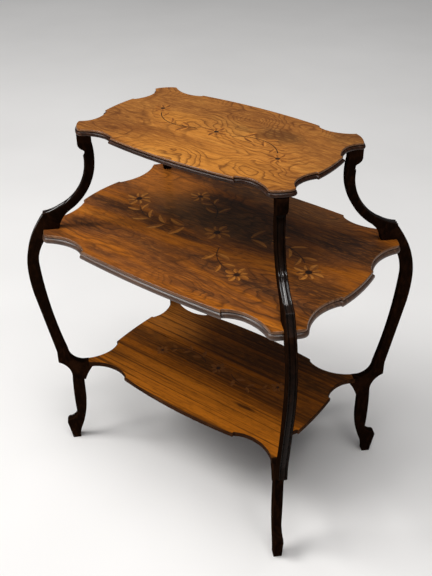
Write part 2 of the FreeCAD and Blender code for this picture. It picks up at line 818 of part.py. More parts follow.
def build_screws():
    """Countersunk screws up through the middle lobes into the supports."""
    pieces = []
    for corner in CORNERS:
        shank = new_cylinder(f"screw_shank_{corner}", size("screw_shank_radius"), size("screw_length"))
        place_at_corner(shank, corner, screw_reach, middle_underside)
        head = doc.addObject("Part::Cone", f"screw_head_{corner}")
        head.setExpression("Radius1", size("screw_head_radius").text)
        head.setExpression("Radius2", size("screw_shank_radius").text)
        head.setExpression("Height", size("screw_head_height").text)
        place_at_corner(head, corner, screw_reach, middle_underside)
        screw = doc.addObject("Part::Fuse", f"screw_{corner}")
        screw.Base = shank
        screw.Tool = head
        pieces.append(screw)
    return group_pieces("middle_tier_screws", pieces)


# Inlay, in the plane of each tier's upper face: a rosette in the middle, and curved sprays in pairs that are
# each other turned half round
PETALS = 8
LEAF_ANGLE = 46
# How much smaller a spray's last leaf is than its first
LEAF_TAPER_SHARE = 0.4
# Size of every second petal, as a share of the others'
INNER_PETAL_SHARE = 0.72

# Where a spray starts, as shares of the tier's half length and half width, and how long it is, as a share of
# the half length. Its heading and its bend are in degrees, and its leaves and flower are scaled by leaf_share.
Spray = namedtuple("Spray", "x_share y_share heading bend length_share leaf_pairs leaf_share")

ROSETTE_SHARES = {"top": 1.0, "middle": 1.4, "bottom": 0.9}
SPRAYS = {
    "top": [Spray(0.15, 0.00, 40, -96, 0.50, 3, 0.95)],
    "middle": [
        Spray(0.16, 0.02, 46, -92, 0.52, 4, 1.40),
        Spray(-0.12, 0.20, 106, 62, 0.26, 2, 1.15),
    ],
    "bottom": [Spray(0.14, 0.00, -38, 88, 0.42, 3, 0.75)],
}


def turned(angle):
    return Vector(math.cos(math.radians(angle)), math.sin(math.radians(angle)), 0)


def along_arc(start, heading, bend, length, share):
    """Point and heading at a share of the way along an arc."""
    radius = length / math.radians(bend)
    here = heading + bend * share
    swing = Vector(
        math.sin(math.radians(here)) - math.sin(math.radians(heading)),
        math.cos(math.radians(heading)) - math.cos(math.radians(here)),
        0,
    )
    return start + swing * radius, here


def raise_face(edges):
    """Solid of the veneer's thickness over a closed outline."""
    return Part.Face(Part.Wire(edges)).extrude(Vector(0, 0, veneer.value))


def leaf_halves(base, angle, length, width):
    """Pointed leaf, cut along its midrib into a light and a shaded half."""
    tip = base + turned(angle) * length
    middle = base + turned(angle) * (length / 2)
    outwards = turned(angle + QUARTER_TURN) * (width / 2)
    midrib = Part.LineSegment(tip, base).toShape()
    light = raise_face([Part.Arc(base, middle + outwards, tip).toShape(), midrib])
    shaded = raise_face([Part.Arc(base, middle - outwards, tip).toShape(), midrib])
    return light, shaded


def stem_piece(start, heading, bend, length, width):
    """Band of even width along an arc."""
    sides = []
    for offset in (-width / 2, width / 2):
        points = []
        for share in (0, 1 / 2, 1):
            point, here = along_arc(start, heading, bend, length, share)
            points.append(point + turned(here + QUARTER_TURN) * offset)
        sides.append(points)
    right, left = sides
    return raise_face([
        Part.Arc(*right).toShape(),
        Part.LineSegment(right[-1], left[-1]).toShape(),
        Part.Arc(*reversed(left)).toShape(),
        Part.LineSegment(left[0], right[0]).toShape(),
    ])


def flower(inlay, centre, scale):
    """Long and short petals in turn, round an eye."""
    eye_radius = size("flower_eye_radius").value * scale
    inlay["stems"].append(Part.makeCylinder(eye_radius, veneer.value, centre))
    for number in range(PETALS):
        angle = number * HALF_TURN * 2 / PETALS
        base = centre + turned(angle) * (eye_radius + size("inlay_gap").value)
        petal_scale = scale if number % 2 == 0 else scale * INNER_PETAL_SHARE
        petal_length = size("petal_length").value * petal_scale
        petal_width = size("petal_width").value * petal_scale
        light, shaded = leaf_halves(base, angle, petal_length, petal_width)
        inlay["leaves"].append(light)
        inlay["shades"].append(shaded)


def spray(inlay, start, heading, bend, length, leaf_pairs, scale):
    """A stem, leaves in pairs along it, and a flower beyond its end."""
    stem_width = size("stem_width").value
    gap = size("inlay_gap").value
    inlay["stems"].append(stem_piece(start, heading, bend, length, stem_width))
    clear = (stem_width / 2 + gap) / math.sin(math.radians(LEAF_ANGLE))
    for pair in range(leaf_pairs):
        share = (pair + 1 / 2) / leaf_pairs
        point, here = along_arc(start, heading, bend, length, share)
        leaf_scale = scale * (1 - LEAF_TAPER_SHARE * share)
        for side in (1, -1):
            angle = here + side * LEAF_ANGLE
            base = point + turned(angle) * clear
            leaf_length = size("leaf_length").value * leaf_scale
            light, shaded = leaf_halves(base, angle, leaf_length, size("leaf_width").value * leaf_scale)
            inlay["leaves"].append(light)
            inlay["shades"].append(shaded)
    end, here = along_arc(start, heading, bend, length, 1)
    beyond = (size("flower_eye_radius") + size("petal_length")).value * scale + gap * 2
    flower(inlay, end + turned(here) * beyond, scale)


def build_inlay(tier):
    """Pieces that are let into a tier's veneer, in one node for each wood."""
    _, runs = tier_outline(tier)
    half_length = runs[0][0][0].value
    half_width = runs[-2][0][1].value
    inlay = {"leaves": [], "shades": [], "stems": []}
    flower(inlay, Vector(0, 0, 0), ROSETTE_SHARES[tier])
    for plan in SPRAYS[tier]:
        length = plan.length_share * half_length
        for sign, turn in ((1, 0), (-1, HALF_TURN)):
            start = Vector(plan.x_share * half_length * sign, plan.y_share * half_width * sign, 0)
            heading = plan.heading + turn
            spray(inlay, start, heading, plan.bend, length, plan.leaf_pairs, plan.leaf_share)
    nodes = []
    for name, pieces in inlay.items():
        node = doc.addObject("Part::Feature", f"{tier}_tier_{name}")
        node.Label = f"{tier}_tier_{name}"
        node.Shape = Part.makeCompound(pieces)
        node.Placement = Placement(Vector(0, 0, (size(f"{tier}_height") - veneer).value), Rotation())
        nodes.append(node)
    return nodes


def build_ground(tier, inlay):
    """Veneer of a tier, with the openings that its inlay fills."""
    sheet_body = new_body(f"{tier}_veneer_sheet", size(f"{tier}_height") - veneer)
    grow = ZERO - size("lip_bevel")
    features = [add_layer(sheet_body, tier, "sheet", grow, ZERO, veneer, tier == "middle")]
    if tier == "middle":
        position = (*corner_point(screw_reach, ZERO), ZERO)
        features.append(drill(sheet_body, "screw_hole", screw_hole_radius, veneer, position))
    mirror_quarters(sheet_body, features)
    tool = doc.addObject("Part::Compound", f"{tier}_inlay_openings")
    tool.Links = inlay
    ground = doc.addObject("Part::Cut", f"{tier}_tier_ground")
    ground.Label = f"{tier}_tier_ground"
    ground.Base = sheet_body
    ground.Tool = tool
    return ground


# Assembly
pieces = [build_moulded_board("top"), build_moulded_board("middle"), build_bottom_board()]
for tier in ("top", "middle", "bottom"):
    inlay = build_inlay(tier)
    pieces += inlay
    pieces.append(build_ground(tier, inlay))
for corner in CORNERS:
    pieces.append(build_leg(corner))
    pieces.append(build_support(corner))

pieces.append(
    build_upright_dowels(
        "support_head_dowels",
        size("dowel_radius"),
        head_dowel_reach,
        top_underside - size("top_dowel_drop"),
        size("top_dowel_drop") + size("top_dowel_rise"),
    )
)
pieces.append(
    build_upright_dowels(
        "support_foot_dowels",
        size("slim_dowel_radius"),
        foot_dowel_reach,
        size("middle_height") - size("foot_dowel_drop"),
        size("foot_dowel_drop") + size("foot_dowel_rise"),
    )
)
pieces.append(build_level_dowels("bottom_tier_dowels", size("tongue_reach"), bottom_core_height))
pieces.append(build_screws())
doc.recompute()

# Checks before anything is written
failed = [feature.Name for feature in doc.Objects if {"Invalid", "Error"} & set(feature.State)]
if failed:
    raise RuntimeError(f"failed to rebuild: {failed}")
for piece in pieces:
    if piece.Shape.isNull() or not piece.Shape.isValid():
        raise RuntimeError(f"{piece.Label} has no sound shape")
    print(piece.Label, len(piece.Shape.Solids), round(piece.Shape.Volume))

for piece in pieces:
    piece.Shape.exportStep(f"parts/{piece.Label}.step")
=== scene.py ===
import json
import math
from types import SimpleNamespace

import bmesh
import bpy
import numpy as np
from mathutils import Matrix, Vector


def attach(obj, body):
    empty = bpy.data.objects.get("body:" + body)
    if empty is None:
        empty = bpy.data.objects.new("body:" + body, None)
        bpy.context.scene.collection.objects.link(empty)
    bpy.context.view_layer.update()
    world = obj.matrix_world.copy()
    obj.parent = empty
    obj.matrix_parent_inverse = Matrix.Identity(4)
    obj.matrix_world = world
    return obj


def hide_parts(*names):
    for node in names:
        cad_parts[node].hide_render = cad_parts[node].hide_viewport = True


# Three-tier tea table: moulded serpentine tiers, inlaid veneer and sawn legs on the diagonals.
# Outlines are in millimetres and are scaled to metres when a mesh is made.
# A corner's reach runs along its diagonal, which starts PLANE_OFFSET from the middle on the long axis.
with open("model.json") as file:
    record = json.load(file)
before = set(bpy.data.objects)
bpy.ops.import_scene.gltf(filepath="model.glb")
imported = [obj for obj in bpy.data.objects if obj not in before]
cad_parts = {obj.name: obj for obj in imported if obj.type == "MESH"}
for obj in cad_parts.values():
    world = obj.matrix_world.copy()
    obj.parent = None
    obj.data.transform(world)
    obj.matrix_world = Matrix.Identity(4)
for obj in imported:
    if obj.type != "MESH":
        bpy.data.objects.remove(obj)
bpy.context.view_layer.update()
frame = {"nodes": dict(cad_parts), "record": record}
nodes = frame["nodes"]

MM = 0.001
SLANT = math.sqrt(0.5)

PLANE_OFFSET = 109.0
LEG_HALF = 9.5
VENEER = 1.2
TOP_HEIGHT = 840.0
MIDDLE_HEIGHT = 612.0
BOTTOM_HEIGHT = 240.0
TOP_THICKNESS = 14.0
MIDDLE_THICKNESS = 20.5
BOTTOM_THICKNESS = 13.0
SEAT_REACH = 288.0
NOTCH_HALF = 9.7
TONGUE_REACH = 262.0
TONGUE_ROOT_REACH = 235.0
CUSP_RETURN = 4.0
LIP_BEVEL = 1.5
QUIRK_DEPTH = 1.6
BEAD_PROJECTION = 3.0

# The side to which a path turns along an arc
LEFT = 1
RIGHT = -1

# Sizes of each tier. A lobe or hollow is given as its run along the side and its rise off it, and the lip,
# quirk and bead by their heights.
TIERS = {
    "top": SimpleNamespace(
        height=TOP_HEIGHT, thickness=TOP_THICKNESS, lip=2.2, quirk=1.6, bead=8.0,
        lobe_reach=194.0, lobe_half=25.0, crown=4.5, corner_cut=8.0,
        short_lobe=(35.8, 19.8), short_hollow=(40.0, 13.0), short_bow=2.8,
        long_lobe=(50.8, 19.8), long_hollow=(29.0, 8.5), long_bow=10.0,
    ),
    "middle": SimpleNamespace(
        height=MIDDLE_HEIGHT, thickness=MIDDLE_THICKNESS, lip=4.4, quirk=2.0, bead=12.0,
        lobe_reach=290.0, lobe_half=34.0, crown=2.0, corner_cut=10.0,
        short_lobe=(61.0, 18.5), short_hollow=(60.0, 17.0), short_bow=5.0,
        long_lobe=(65.0, 20.0), long_hollow=(46.0, 15.5), long_bow=7.0,
    ),
    "bottom": SimpleNamespace(
        height=BOTTOM_HEIGHT, thickness=BOTTOM_THICKNESS,
        short_radius=88.0, short_hollow=(30.0, 8.5), short_bow=2.5,
        long_radius=98.0, long_hollow=(41.0, 12.0), long_bow=9.5,
    ),
}


# Outlines
def arc_points(start, end, radius, bend, steps, trim=(0.0, 0.0)):
    """Points after start along the minor arc to end. Bend is LEFT or RIGHT.

    Trim leaves out a length at each end. After a trim at the start, the first point is given too.
    """
    start = np.array(start, float)
    end = np.array(end, float)
    chord = end - start
    length = np.hypot(*chord)
    height = math.sqrt(max(radius * radius - length * length / 4, 0))
    centre = (start + end) / 2 + np.array((-chord[1], chord[0])) / length * height * bend
    first = math.atan2(*(start - centre)[::-1])
    sweep = math.remainder(math.atan2(*(end - centre)[::-1]) - first, math.tau)
    begin = first + math.copysign(trim[0] / radius, sweep)
    sweep -= math.copysign((trim[0] + trim[1]) / radius, sweep)
    angles = [begin + sweep * step / steps for step in range(0 if trim[0] else 1, steps + 1)]
    return [tuple(centre + radius * np.array((math.cos(angle), math.sin(angle)))) for angle in angles]


def bulge_radius(start, end, bulge):
    return (math.dist(start, end) ** 2 / 4 + bulge * bulge) / (bulge * 2)


def tangent_radius(run, rise):
    """Radius of the arc that leaves a level tangent and rises over a run."""
    return (rise * rise + run * run) / (rise * 2)


def corner_point(reach, across):
    """Plan point of the back right corner: along its diagonal, then across it towards the long side."""
    return (PLANE_OFFSET + (reach - across) * SLANT, (reach + across) * SLANT)


ARC_STEPS = 14
BOW_STEPS = 20
CROWN_STEPS = 8
CORNER_STEPS = 6
SHOULDER_SHARE = 0.25


def softened(before, corner, after):
    """Join two stretches with a curve that cuts the corner between them."""
    start = np.array(before[-1])
    corner = np.array(corner)
    end = np.array(after[0])
    joint = []
    for step in range(1, CORNER_STEPS):
        share = step / CORNER_STEPS
        point = start * (1 - share) ** 2 + corner * (2 * share * (1 - share)) + end * share ** 2
        joint.append(tuple(point))
    return before + joint + after


def lobe_points(tier, grow):
    """Corner lobe, and the lowest points of the hollows beside it."""
    size = TIERS[tier]
    reach = size.lobe_reach + grow
    half = size.lobe_half + grow
    short_corner = corner_point(reach, -half)
    long_corner = corner_point(reach, half)
    plain_short = corner_point(size.lobe_reach, -size.lobe_half)
    plain_long = corner_point(size.lobe_reach, size.lobe_half)
    short_low = (plain_short[0] - size.short_lobe[1] + grow, plain_short[1] - size.short_lobe[0])
    long_low = (plain_long[0] - size.long_lobe[0], plain_long[1] - size.long_lobe[1] + grow)
    cut = size.corner_cut + grow
    radius = tangent_radius(short_corner[1] - short_low[1], short_corner[0] - short_low[0])
    points = arc_points(short_low, short_corner, radius, RIGHT, ARC_STEPS, (0, cut))
    radius = tangent_radius(long_corner[0] - long_low[0], long_corner[1] - long_low[1])
    leaving = arc_points(long_corner, long_low, radius, RIGHT, ARC_STEPS, (cut, 0))
    if tier == "middle":
        mouth = reach + size.crown
        seat = min(SEAT_REACH, mouth)
        mouth_short = corner_point(mouth, -NOTCH_HALF)
        mouth_long = corner_point(mouth, NOTCH_HALF)
        radius = bulge_radius(short_corner, mouth_short, size.crown * SHOULDER_SHARE)
        shoulder = arc_points(short_corner, mouth_short, radius, LEFT, CROWN_STEPS, (cut, 0))
        points = softened(points, short_corner, shoulder)
        points += [corner_point(seat, -NOTCH_HALF), corner_point(seat, NOTCH_HALF), mouth_long]
        points += arc_points(mouth_long, long_corner, radius, LEFT, CROWN_STEPS, (0, cut))
    else:
        radius = bulge_radius(short_corner, long_corner, size.crown)
        crown = arc_points(short_corner, long_corner, radius, LEFT, 2 * CROWN_STEPS, (cut, cut))
        points = softened(points, short_corner, crown)
    points = softened(points, long_corner, leaving)
    return short_low, points, long_low


def tongue_points(tier, grow):
    """Corner tongue of the bottom tier, and the lowest points of the hollows beside it."""
    size = TIERS[tier]
    half = LEG_HALF + grow
    root_short = corner_point(TONGUE_ROOT_REACH, -LEG_HALF)
    root_long = corner_point(TONGUE_ROOT_REACH, LEG_HALF)
    short_radius = size.short_radius
    long_radius = size.long_radius
    short_low = (root_short[0] - short_radius * (1 - SLANT) + grow, root_short[1] - short_radius * SLANT)
    long_low = (root_long[0] - long_radius * SLANT, root_long[1] - long_radius * (1 - SLANT) + grow)
    short_root = corner_point(TONGUE_ROOT_REACH, -half)
    long_root = corner_point(TONGUE_ROOT_REACH, half)
    points = arc_points(short_low, short_root, short_radius - grow, RIGHT, ARC_STEPS)
    points += [corner_point(TONGUE_REACH, -half), corner_point(TONGUE_REACH, half), long_root]
    points += arc_points(long_root, long_low, long_radius - grow, RIGHT, ARC_STEPS)
    return short_low, points, long_low


def tier_outline(tier, grow):
    """Closed outline of a tier as an array of plan points, its edge moved outwards by grow."""
    size = TIERS[tier]
    corner = tongue_points if tier == "bottom" else lobe_points
    short_low, corner_run, long_low = corner(tier, grow)
    short_run, short_rise = size.short_hollow
    long_run, long_rise = size.long_hollow
    short_inner = (short_low[0] + short_rise, short_low[1] - short_run + grow)
    short_cusp = (short_inner[0] + CUSP_RETURN, short_inner[1])
    long_inner = (long_low[0] - long_run + grow, long_low[1] + long_rise)
    long_cusp = (long_inner[0], long_inner[1] + CUSP_RETURN)
    short_bow = (short_cusp[0] + size.short_bow, 0.0)
    long_bow = (0.0, long_cusp[1] + size.long_bow)
    quarter = [short_bow]
    radius = tangent_radius(short_cusp[1], size.short_bow)
    quarter += arc_points(short_bow, short_cusp, radius, LEFT, BOW_STEPS)
    radius = tangent_radius(short_low[1] - short_inner[1], short_rise)
    quarter += [short_inner] + arc_points(short_inner, short_low, radius, RIGHT, ARC_STEPS)
    quarter += corner_run
    radius = tangent_radius(long_low[0] - long_inner[0], long_rise)
    quarter += arc_points(long_low, long_inner, radius, RIGHT, ARC_STEPS) + [long_cusp]
    radius = tangent_radius(long_cusp[0], size.long_bow)
    quarter += arc_points(long_cusp, long_bow, radius, LEFT, BOW_STEPS)
    first = np.array(quarter)
    second = first[::-1] * (-1, 1)
    return np.concatenate((first, second[1:], -first[1:], -second[1:-1]))


# Meshes
# Distance in millimetres under which two points become one, and angle in degrees over which an edge is sharp
MERGE_DISTANCE = 0.002
SHARP_ANGLE = 32.0


def loft(name, rings, second):
    """Closed mesh through rings of equally many points, with a flat face over each end.

    Second tells which faces take the second material, by the ring and the point that they start at.
    """
    count = len(rings[0])
    mesh = bpy.data.meshes.new(name)
    build = bmesh.new()
    rows = [[build.verts.new(Vector(point) * MM) for point in ring] for ring in rings]
    for number, (lower, upper) in enumerate(zip(rows, rows[1:])):
        for index in range(count):
            follower = (index + 1) % count
            face = build.faces.new((lower[index], lower[follower], upper[follower], upper[index]))
            face.material_index = int(second[number, index])
    ends = [build.faces.new(rows[0][::-1]), build.faces.new(rows[-1])]
    for face in ends:
        face.normal_update()
    bmesh.ops.triangulate(build, faces=ends)
    bmesh.ops.remove_doubles(build, verts=build.verts, dist=MERGE_DISTANCE * MM)
    bmesh.ops.recalc_face_normals(build, faces=build.faces)
    build.to_mesh(mesh)
    build.free()
    mesh.shade_smooth()
    mesh.set_sharp_from_angle(angle=math.radians(SHARP_ANGLE))
    piece = bpy.data.objects.new(name, mesh)
    bpy.context.scene.collection.objects.link(piece)
    return piece


def stand_for(piece, node, finishes):
    """Seat a finished piece on the body in place of its plain solid."""
    for material in finishes:
        piece.data.materials.append(material)
    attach(piece, "root")
    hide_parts(node)


# Edge profiles, as stations that give an outward offset and a depth below the tier's face
def round_stations(centre, radii, from_angle, to_angle, steps):
    """Stations along an elliptic arc."""
    stations = []
    for step in range(steps + 1):
        angle = math.radians(from_angle + (to_angle - from_angle) * step / steps)
        stations.append((centre[0] + radii[0] * math.cos(angle), centre[1] - radii[1] * math.sin(angle)))
    return stations


# A nick is a small step beside an inner corner, which keeps that corner crisp
NICK = 0.1
# Wall of the pocket that the veneer lies in, from just under the veneer to just below the tier's face
POCKET_RIM = 0.3
POCKET_WALL = [(-LIP_BEVEL, VENEER + NICK), (-LIP_BEVEL, POCKET_RIM)]
LIP_STEPS = 7
LIP_FOOT = 0.4
LIP_FOOT_STEPS = 2
QUIRK_MOUTH = 0.3
QUIRK_CORNER = 0.5
SWELL_BULGE = 1.3
SWELL_STEPS = 10
BEAD_CREST_SHARE = 0.6
BEAD_FOOT = -0.6
BEAD_FOOT_RADIUS_SHARE = 1.05
BEAD_FOOT_STEPS = 8
# The underside slopes in under the bead, has a small arris and ends a little way into the flat face
UNDERSIDE_SLOPE = (-1.0, -3.4)
UNDERSIDE_ARRIS = 0.2
UNDERSIDE_FLAT = (-4.0, -6.0)


def moulded_profile(tier):
    """Edge of the top or middle tier: rolled lip, sunk quirk, and a sloping bead that rounds under."""
    size = TIERS[tier]
    lip_base = VENEER + size.lip
    quirk_base = lip_base + size.quirk
    bead_base = quirk_base + size.bead
    depth = size.thickness
    crest = (BEAD_PROJECTION, quirk_base + size.bead * BEAD_CREST_SHARE)
    lip_depth = lip_base - LIP_FOOT
    profile = POCKET_WALL + round_stations((-LIP_BEVEL, lip_depth), (LIP_BEVEL, lip_depth), 90, 0, LIP_STEPS)
    profile += round_stations((-LIP_FOOT, lip_depth), (LIP_FOOT, LIP_FOOT), 0, -90, LIP_FOOT_STEPS)[1:]
    profile += [(-QUIRK_DEPTH, lip_base + NICK), (-QUIRK_DEPTH, quirk_base - QUIRK_CORNER)]
    shoulder = (-QUIRK_DEPTH + QUIRK_MOUTH, quirk_base - QUIRK_MOUTH)
    swell_radius = bulge_radius(shoulder, crest, SWELL_BULGE)
    profile += [shoulder] + arc_points(shoulder, crest, swell_radius, LEFT, SWELL_STEPS)
    foot_radius = (bead_base - crest[1]) * BEAD_FOOT_RADIUS_SHARE
    profile += arc_points(crest, (BEAD_FOOT, bead_base), foot_radius, LEFT, BEAD_FOOT_STEPS)
    profile += [(UNDERSIDE_SLOPE[0], bead_base + NICK), (UNDERSIDE_SLOPE[1], depth - UNDERSIDE_ARRIS)]
    return profile + [(offset, depth) for offset in UNDERSIDE_FLAT]


PLAIN_ARRIS = (LIP_BEVEL, LIP_BEVEL)
PLAIN_ARRIS_STEPS = 5
PLAIN_ROUND = (5.0, 4.5)
PLAIN_ROUND_STEPS = 8
PLAIN_UNDERSIDE = -7.0


def plain_profile(tier):
    """Edge of the bottom tier: rounded arris, narrow flat and a wide round underneath."""
    depth = TIERS[tier].thickness
    across, upright = PLAIN_ROUND
    profile = POCKET_WALL + round_stations((-LIP_BEVEL, LIP_BEVEL), PLAIN_ARRIS, 90, 0, PLAIN_ARRIS_STEPS)
    profile += round_stations((-across, depth - upright), PLAIN_ROUND, 0, -90, PLAIN_ROUND_STEPS)
    return profile + [(PLAIN_UNDERSIDE, depth)]


def eased(share):
    """Smooth step from 0 to 1."""
    share = np.clip(share, 0, 1)
    return share * share * (3 - 2 * share)


# Over what length the bottom tier's edge turns square towards a tongue, and where the tongue's stain starts
TONGUE_FADE = 45.0
STAIN_REACH = TONGUE_ROOT_REACH - 1.0


def plan_reach(plan):
    """Reach of each plan point along the diagonal of its own corner."""
    return (np.abs(plan[:, 0]) - PLANE_OFFSET + np.abs(plan[:, 1])) * SLANT


def tongue_share(plan):
    """1 on the bottom tier's tongues, where the lower edge stays square for the joint, and 0 elsewhere."""
    return eased((plan_reach(plan) - TONGUE_ROOT_REACH + TONGUE_FADE) / TONGUE_FADE)


def build_board(tier, finishes):
    """Board with its shaped edge. The second finish is the rolled lip's, or the bottom tier's tongues'."""
    profile = plain_profile(tier) if tier == "bottom" else moulded_profile(tier)
    square = tier_outline(tier, 0.0)
    kept = tongue_share(square)[:, None] if tier == "bottom" else 0.0
    rings = []
    for grow, depth in profile:
        plan = tier_outline(tier, grow)
        if depth > TIERS[tier].thickness / 2:
            plan = plan + (square - plan) * kept
        rings.append(np.column_stack((plan, np.full(len(plan), TIERS[tier].height - depth))))
    second = np.zeros((len(rings), len(rings[0])), bool)
    if tier == "bottom":
        second[:] = plan_reach(square) > STAIN_REACH
    else:
        second[:len(POCKET_WALL) + LIP_STEPS] = True
    piece = loft(f"{tier}_board_moulded", rings, second)
    stand_for(piece, f"{tier}_tier_board", finishes)


# Legs and supports, as outlines in their own upright planes: along the reach, then up
def line_run(end, steps=1, moulded=False, jointed=False):
    return (end, None, LEFT, steps, moulded, jointed)


def arc_run(end, bulge, bend, steps, moulded=False):
    """An arc that rises from its chord by a bulge."""
    return (end, bulge, bend, steps, moulded, False)


def trace_runs(start, runs):
    """Points of a closed outline, with marks for the stretch after each point: moulded, and jointed."""
    points = []
    moulded = []
    jointed = []
    here = start
    for end, bulge, bend, steps, is_moulded, is_jointed in runs:
        if bulge is None:
            whole = np.subtract(end, here)
            stretch = [tuple(here + whole * step / steps) for step in range(1, steps + 1)]
        else:
            stretch = arc_points(here, end, bulge_radius(here, end, bulge), bend, steps)
        points += [here] + stretch[:-1]
        moulded += [is_moulded] * len(stretch)
        jointed += [is_jointed] * len(stretch)
        here = end
    return np.array(points), np.array(moulded), np.array(jointed)


# A corner counts as smooth where its directions' cross product is under this
STRAIGHT_CROSS = 0.05
# Longest step of a point at a sharp corner, as a multiple of the sink
LONGEST_STEP = 1.8


def inward_steps(points, jointed):
    """How far each point moves when every face but the jointed ones sinks by one unit."""
    following = np.roll(points, -1, axis=0) - points
    following /= np.hypot(*following.T)[:, None]
    leaving = np.column_stack((following[:, 1], -following[:, 0]))
    arriving = np.roll(leaving, 1, axis=0)
    leaving_sink = np.where(jointed, 0.0, 1.0)
    arriving_sink = np.roll(leaving_sink, 1)
    cross = arriving[:, 0] * leaving[:, 1] - arriving[:, 1] * leaving[:, 0]
    smooth = np.abs(cross) < STRAIGHT_CROSS
    safe = np.where(smooth, 1.0, cross)
    step_x = -(arriving_sink * leaving[:, 1] - leaving_sink * arriving[:, 1]) / safe
    step_y = -(leaving_sink * arriving[:, 0] - arriving_sink * leaving[:, 0]) / safe
    steps = np.column_stack((step_x, step_y))
    steps[smooth] = -(leaving * leaving_sink[:, None])[smooth]
    lengths = np.hypot(*steps.T)
    return steps / np.maximum(lengths / LONGEST_STEP, 1)[:, None]


def mould_weights(points, moulded, fade):
    """1 along the moulded stretch, fading to 0 towards each end that has a fade length."""
    gaps = np.hypot(*(np.roll(points, -1, axis=0) - points).T)
    run = np.concatenate(([0], np.cumsum(gaps)[:-1]))
    touched = moulded | np.roll(moulded, 1)
    inside = run[touched]
    weights = np.where(touched, 1.0, 0.0)
    for end, length in ((inside.min(), fade[0]), (inside.max(), fade[1])):
        if length:
            weights *= np.clip(np.abs(run - end) / length, 0, 1)
    return weights


# Radius of the arrises, and the angles of the points round one
EDGE_ROUND = 1.5
EDGE_ANGLES = (90, 68, 46, 24, 0)
# Places across the moulded face, from the middle outwards, and how deep each lies
RELIEF = (
    (0.0, 0.3), (1.4, 0.4), (2.6, 0.7), (3.6, 1.2), (4.3, 1.8), (4.7, 2.3),
    (5.2, 2.4), (5.7, 2.1), (6.1, 1.2), (6.6, 0.5), (7.2, 0.1), (7.9, 0.0),
)


def across_stations():
    """Places across a piece's thickness with the sink of its round edge and of its moulding there."""
    half = [(place, 0.0, depth) for place, depth in RELIEF]
    for angle in EDGE_ANGLES:
        turn = math.radians(angle)
        half.append((LEG_HALF - EDGE_ROUND * (1 - math.cos(turn)), EDGE_ROUND * (1 - math.sin(turn)), 0.0))
    return [(-place, edge, depth) for place, edge, depth in half[:0:-1]] + half


# How much wider the supports' heads are, as a share, and where and over what height they widen
HEAD_FLARE = 0.15
FLARE_START = 787.0
FLARE_RISE = 18.0


def thickening(heights):
    """Share of the plain thickness at each height: the supports swell to a wider block at their heads."""
    return 1 + HEAD_FLARE * eased((heights - FLARE_START) / FLARE_RISE)


# Lengths over which the moulding fades at the two ends of a moulded face
LEG_FADE = (7.0, 0.0)
SUPPORT_FADE = (0.0, 9.0)
# How far the supports' moulded faces crown outwards, over what length from each end, and by what power
SUPPORT_CROWN = 5.5
CROWN_FADE = (80.0, 12.0)
CROWN_POWER = 3
# Share of the crowning that the arrises lose
CROWN_FALL = 0.65

# For each corner the side of its diagonal's start, and its diagonal's turn in degrees
CORNERS = {
    "back_right": (1, 45),
    "back_left": (-1, 135),
    "front_left": (-1, 225),
    "front_right": (1, 315),
}


def build_sawn_piece(name, corner, outline, fade, finishes, crown=0.0):
    """Leg or support at one corner. The second finish is its moulded outer face's."""
    side, turn = CORNERS[corner]
    points, moulded, jointed = trace_runs(*outline)
    steps = inward_steps(points, jointed)
    weights = mould_weights(points, moulded, fade)
    crowning = crown * mould_weights(points, moulded, CROWN_FADE) ** CROWN_POWER
    outwards = np.array((math.cos(math.radians(turn)), math.sin(math.radians(turn))))
    across = np.array((-outwards[1], outwards[0]))
    foot_line = np.array((side * PLANE_OFFSET, 0.0))
    stations = across_stations()
    rings = []
    for place, edge, depth in stations:
        rise = crowning * (1 - CROWN_FALL * (place / LEG_HALF) ** 2)
        sunk = points + steps * (edge + depth * weights - rise)[:, None]
        plan = foot_line + sunk[:, :1] * outwards + (place * thickening(sunk[:, 1]))[:, None] * across
        rings.append(np.column_stack((plan, sunk[:, 1])))
    places = np.array([station[0] for station in stations])
    outermost = RELIEF[-1][0]
    on_relief = (places >= -outermost) & (places < outermost)
    piece = loft(f"{name}_{corner}_moulded", rings, on_relief[:, None] & moulded[None, :])
    stand_for(piece, f"{name}_{corner}", finishes)


# The upper leg's runs and drops are from the seat on the middle tier. The lower leg's runs and rises are
# from the slot that holds the bottom tier's tongue, and its heights are above the floor.
LEG = SimpleNamespace(
    head_run=23.6, knee_run=50.0, knee_drop=100.0, knee_upper_bulge=6.7,
    shin_run=43.3, shin_drop=173.0, shin_bulge=1.7,
    beak_run=40.0, beak_top_rise=40.0, beak_bottom_rise=9.0,
    beak_nose=4.0, beak_nose_bulge=1.1,
    throat_run=12.0, throat_drop=44.0, throat_bulge=8.5,
    ankle_run=12.0, ankle_height=84.0, ankle_bulge=1.5,
    toe_top_run=17.0, toe_top_height=62.0, toe_top_bulge=4.5,
    toe_overhang=9.5, toe_height=51.0, toe_bulge=3.6,
    sole_run=11.0, sole_length=19.0,
    heel_inset=6.0, heel_height=33.0, heel_bulge=1.5,
    calf_depth=26.5, calf_height=140.0, calf_bulge=5.6,
    bracket_run=40.0, bracket_drop=38.5, bracket_step_run=5.5, bracket_bulge=1.8,
    spur_run=31.0, spur_blunt=1.0,
    spur_bend_run=45.5, spur_bend_rise=37.0, spur_bend_bulge=13.5,
    inner_knee_run=25.0, inner_knee_drop=92.0, inner_knee_bulge=6.1, inner_shin_bulge=6.5,
)
SLOT_FLOOR = BOTTOM_HEIGHT - BOTTOM_THICKNESS


def moved(point, along_reach, upwards):
    return (point[0] + along_reach, point[1] + upwards)


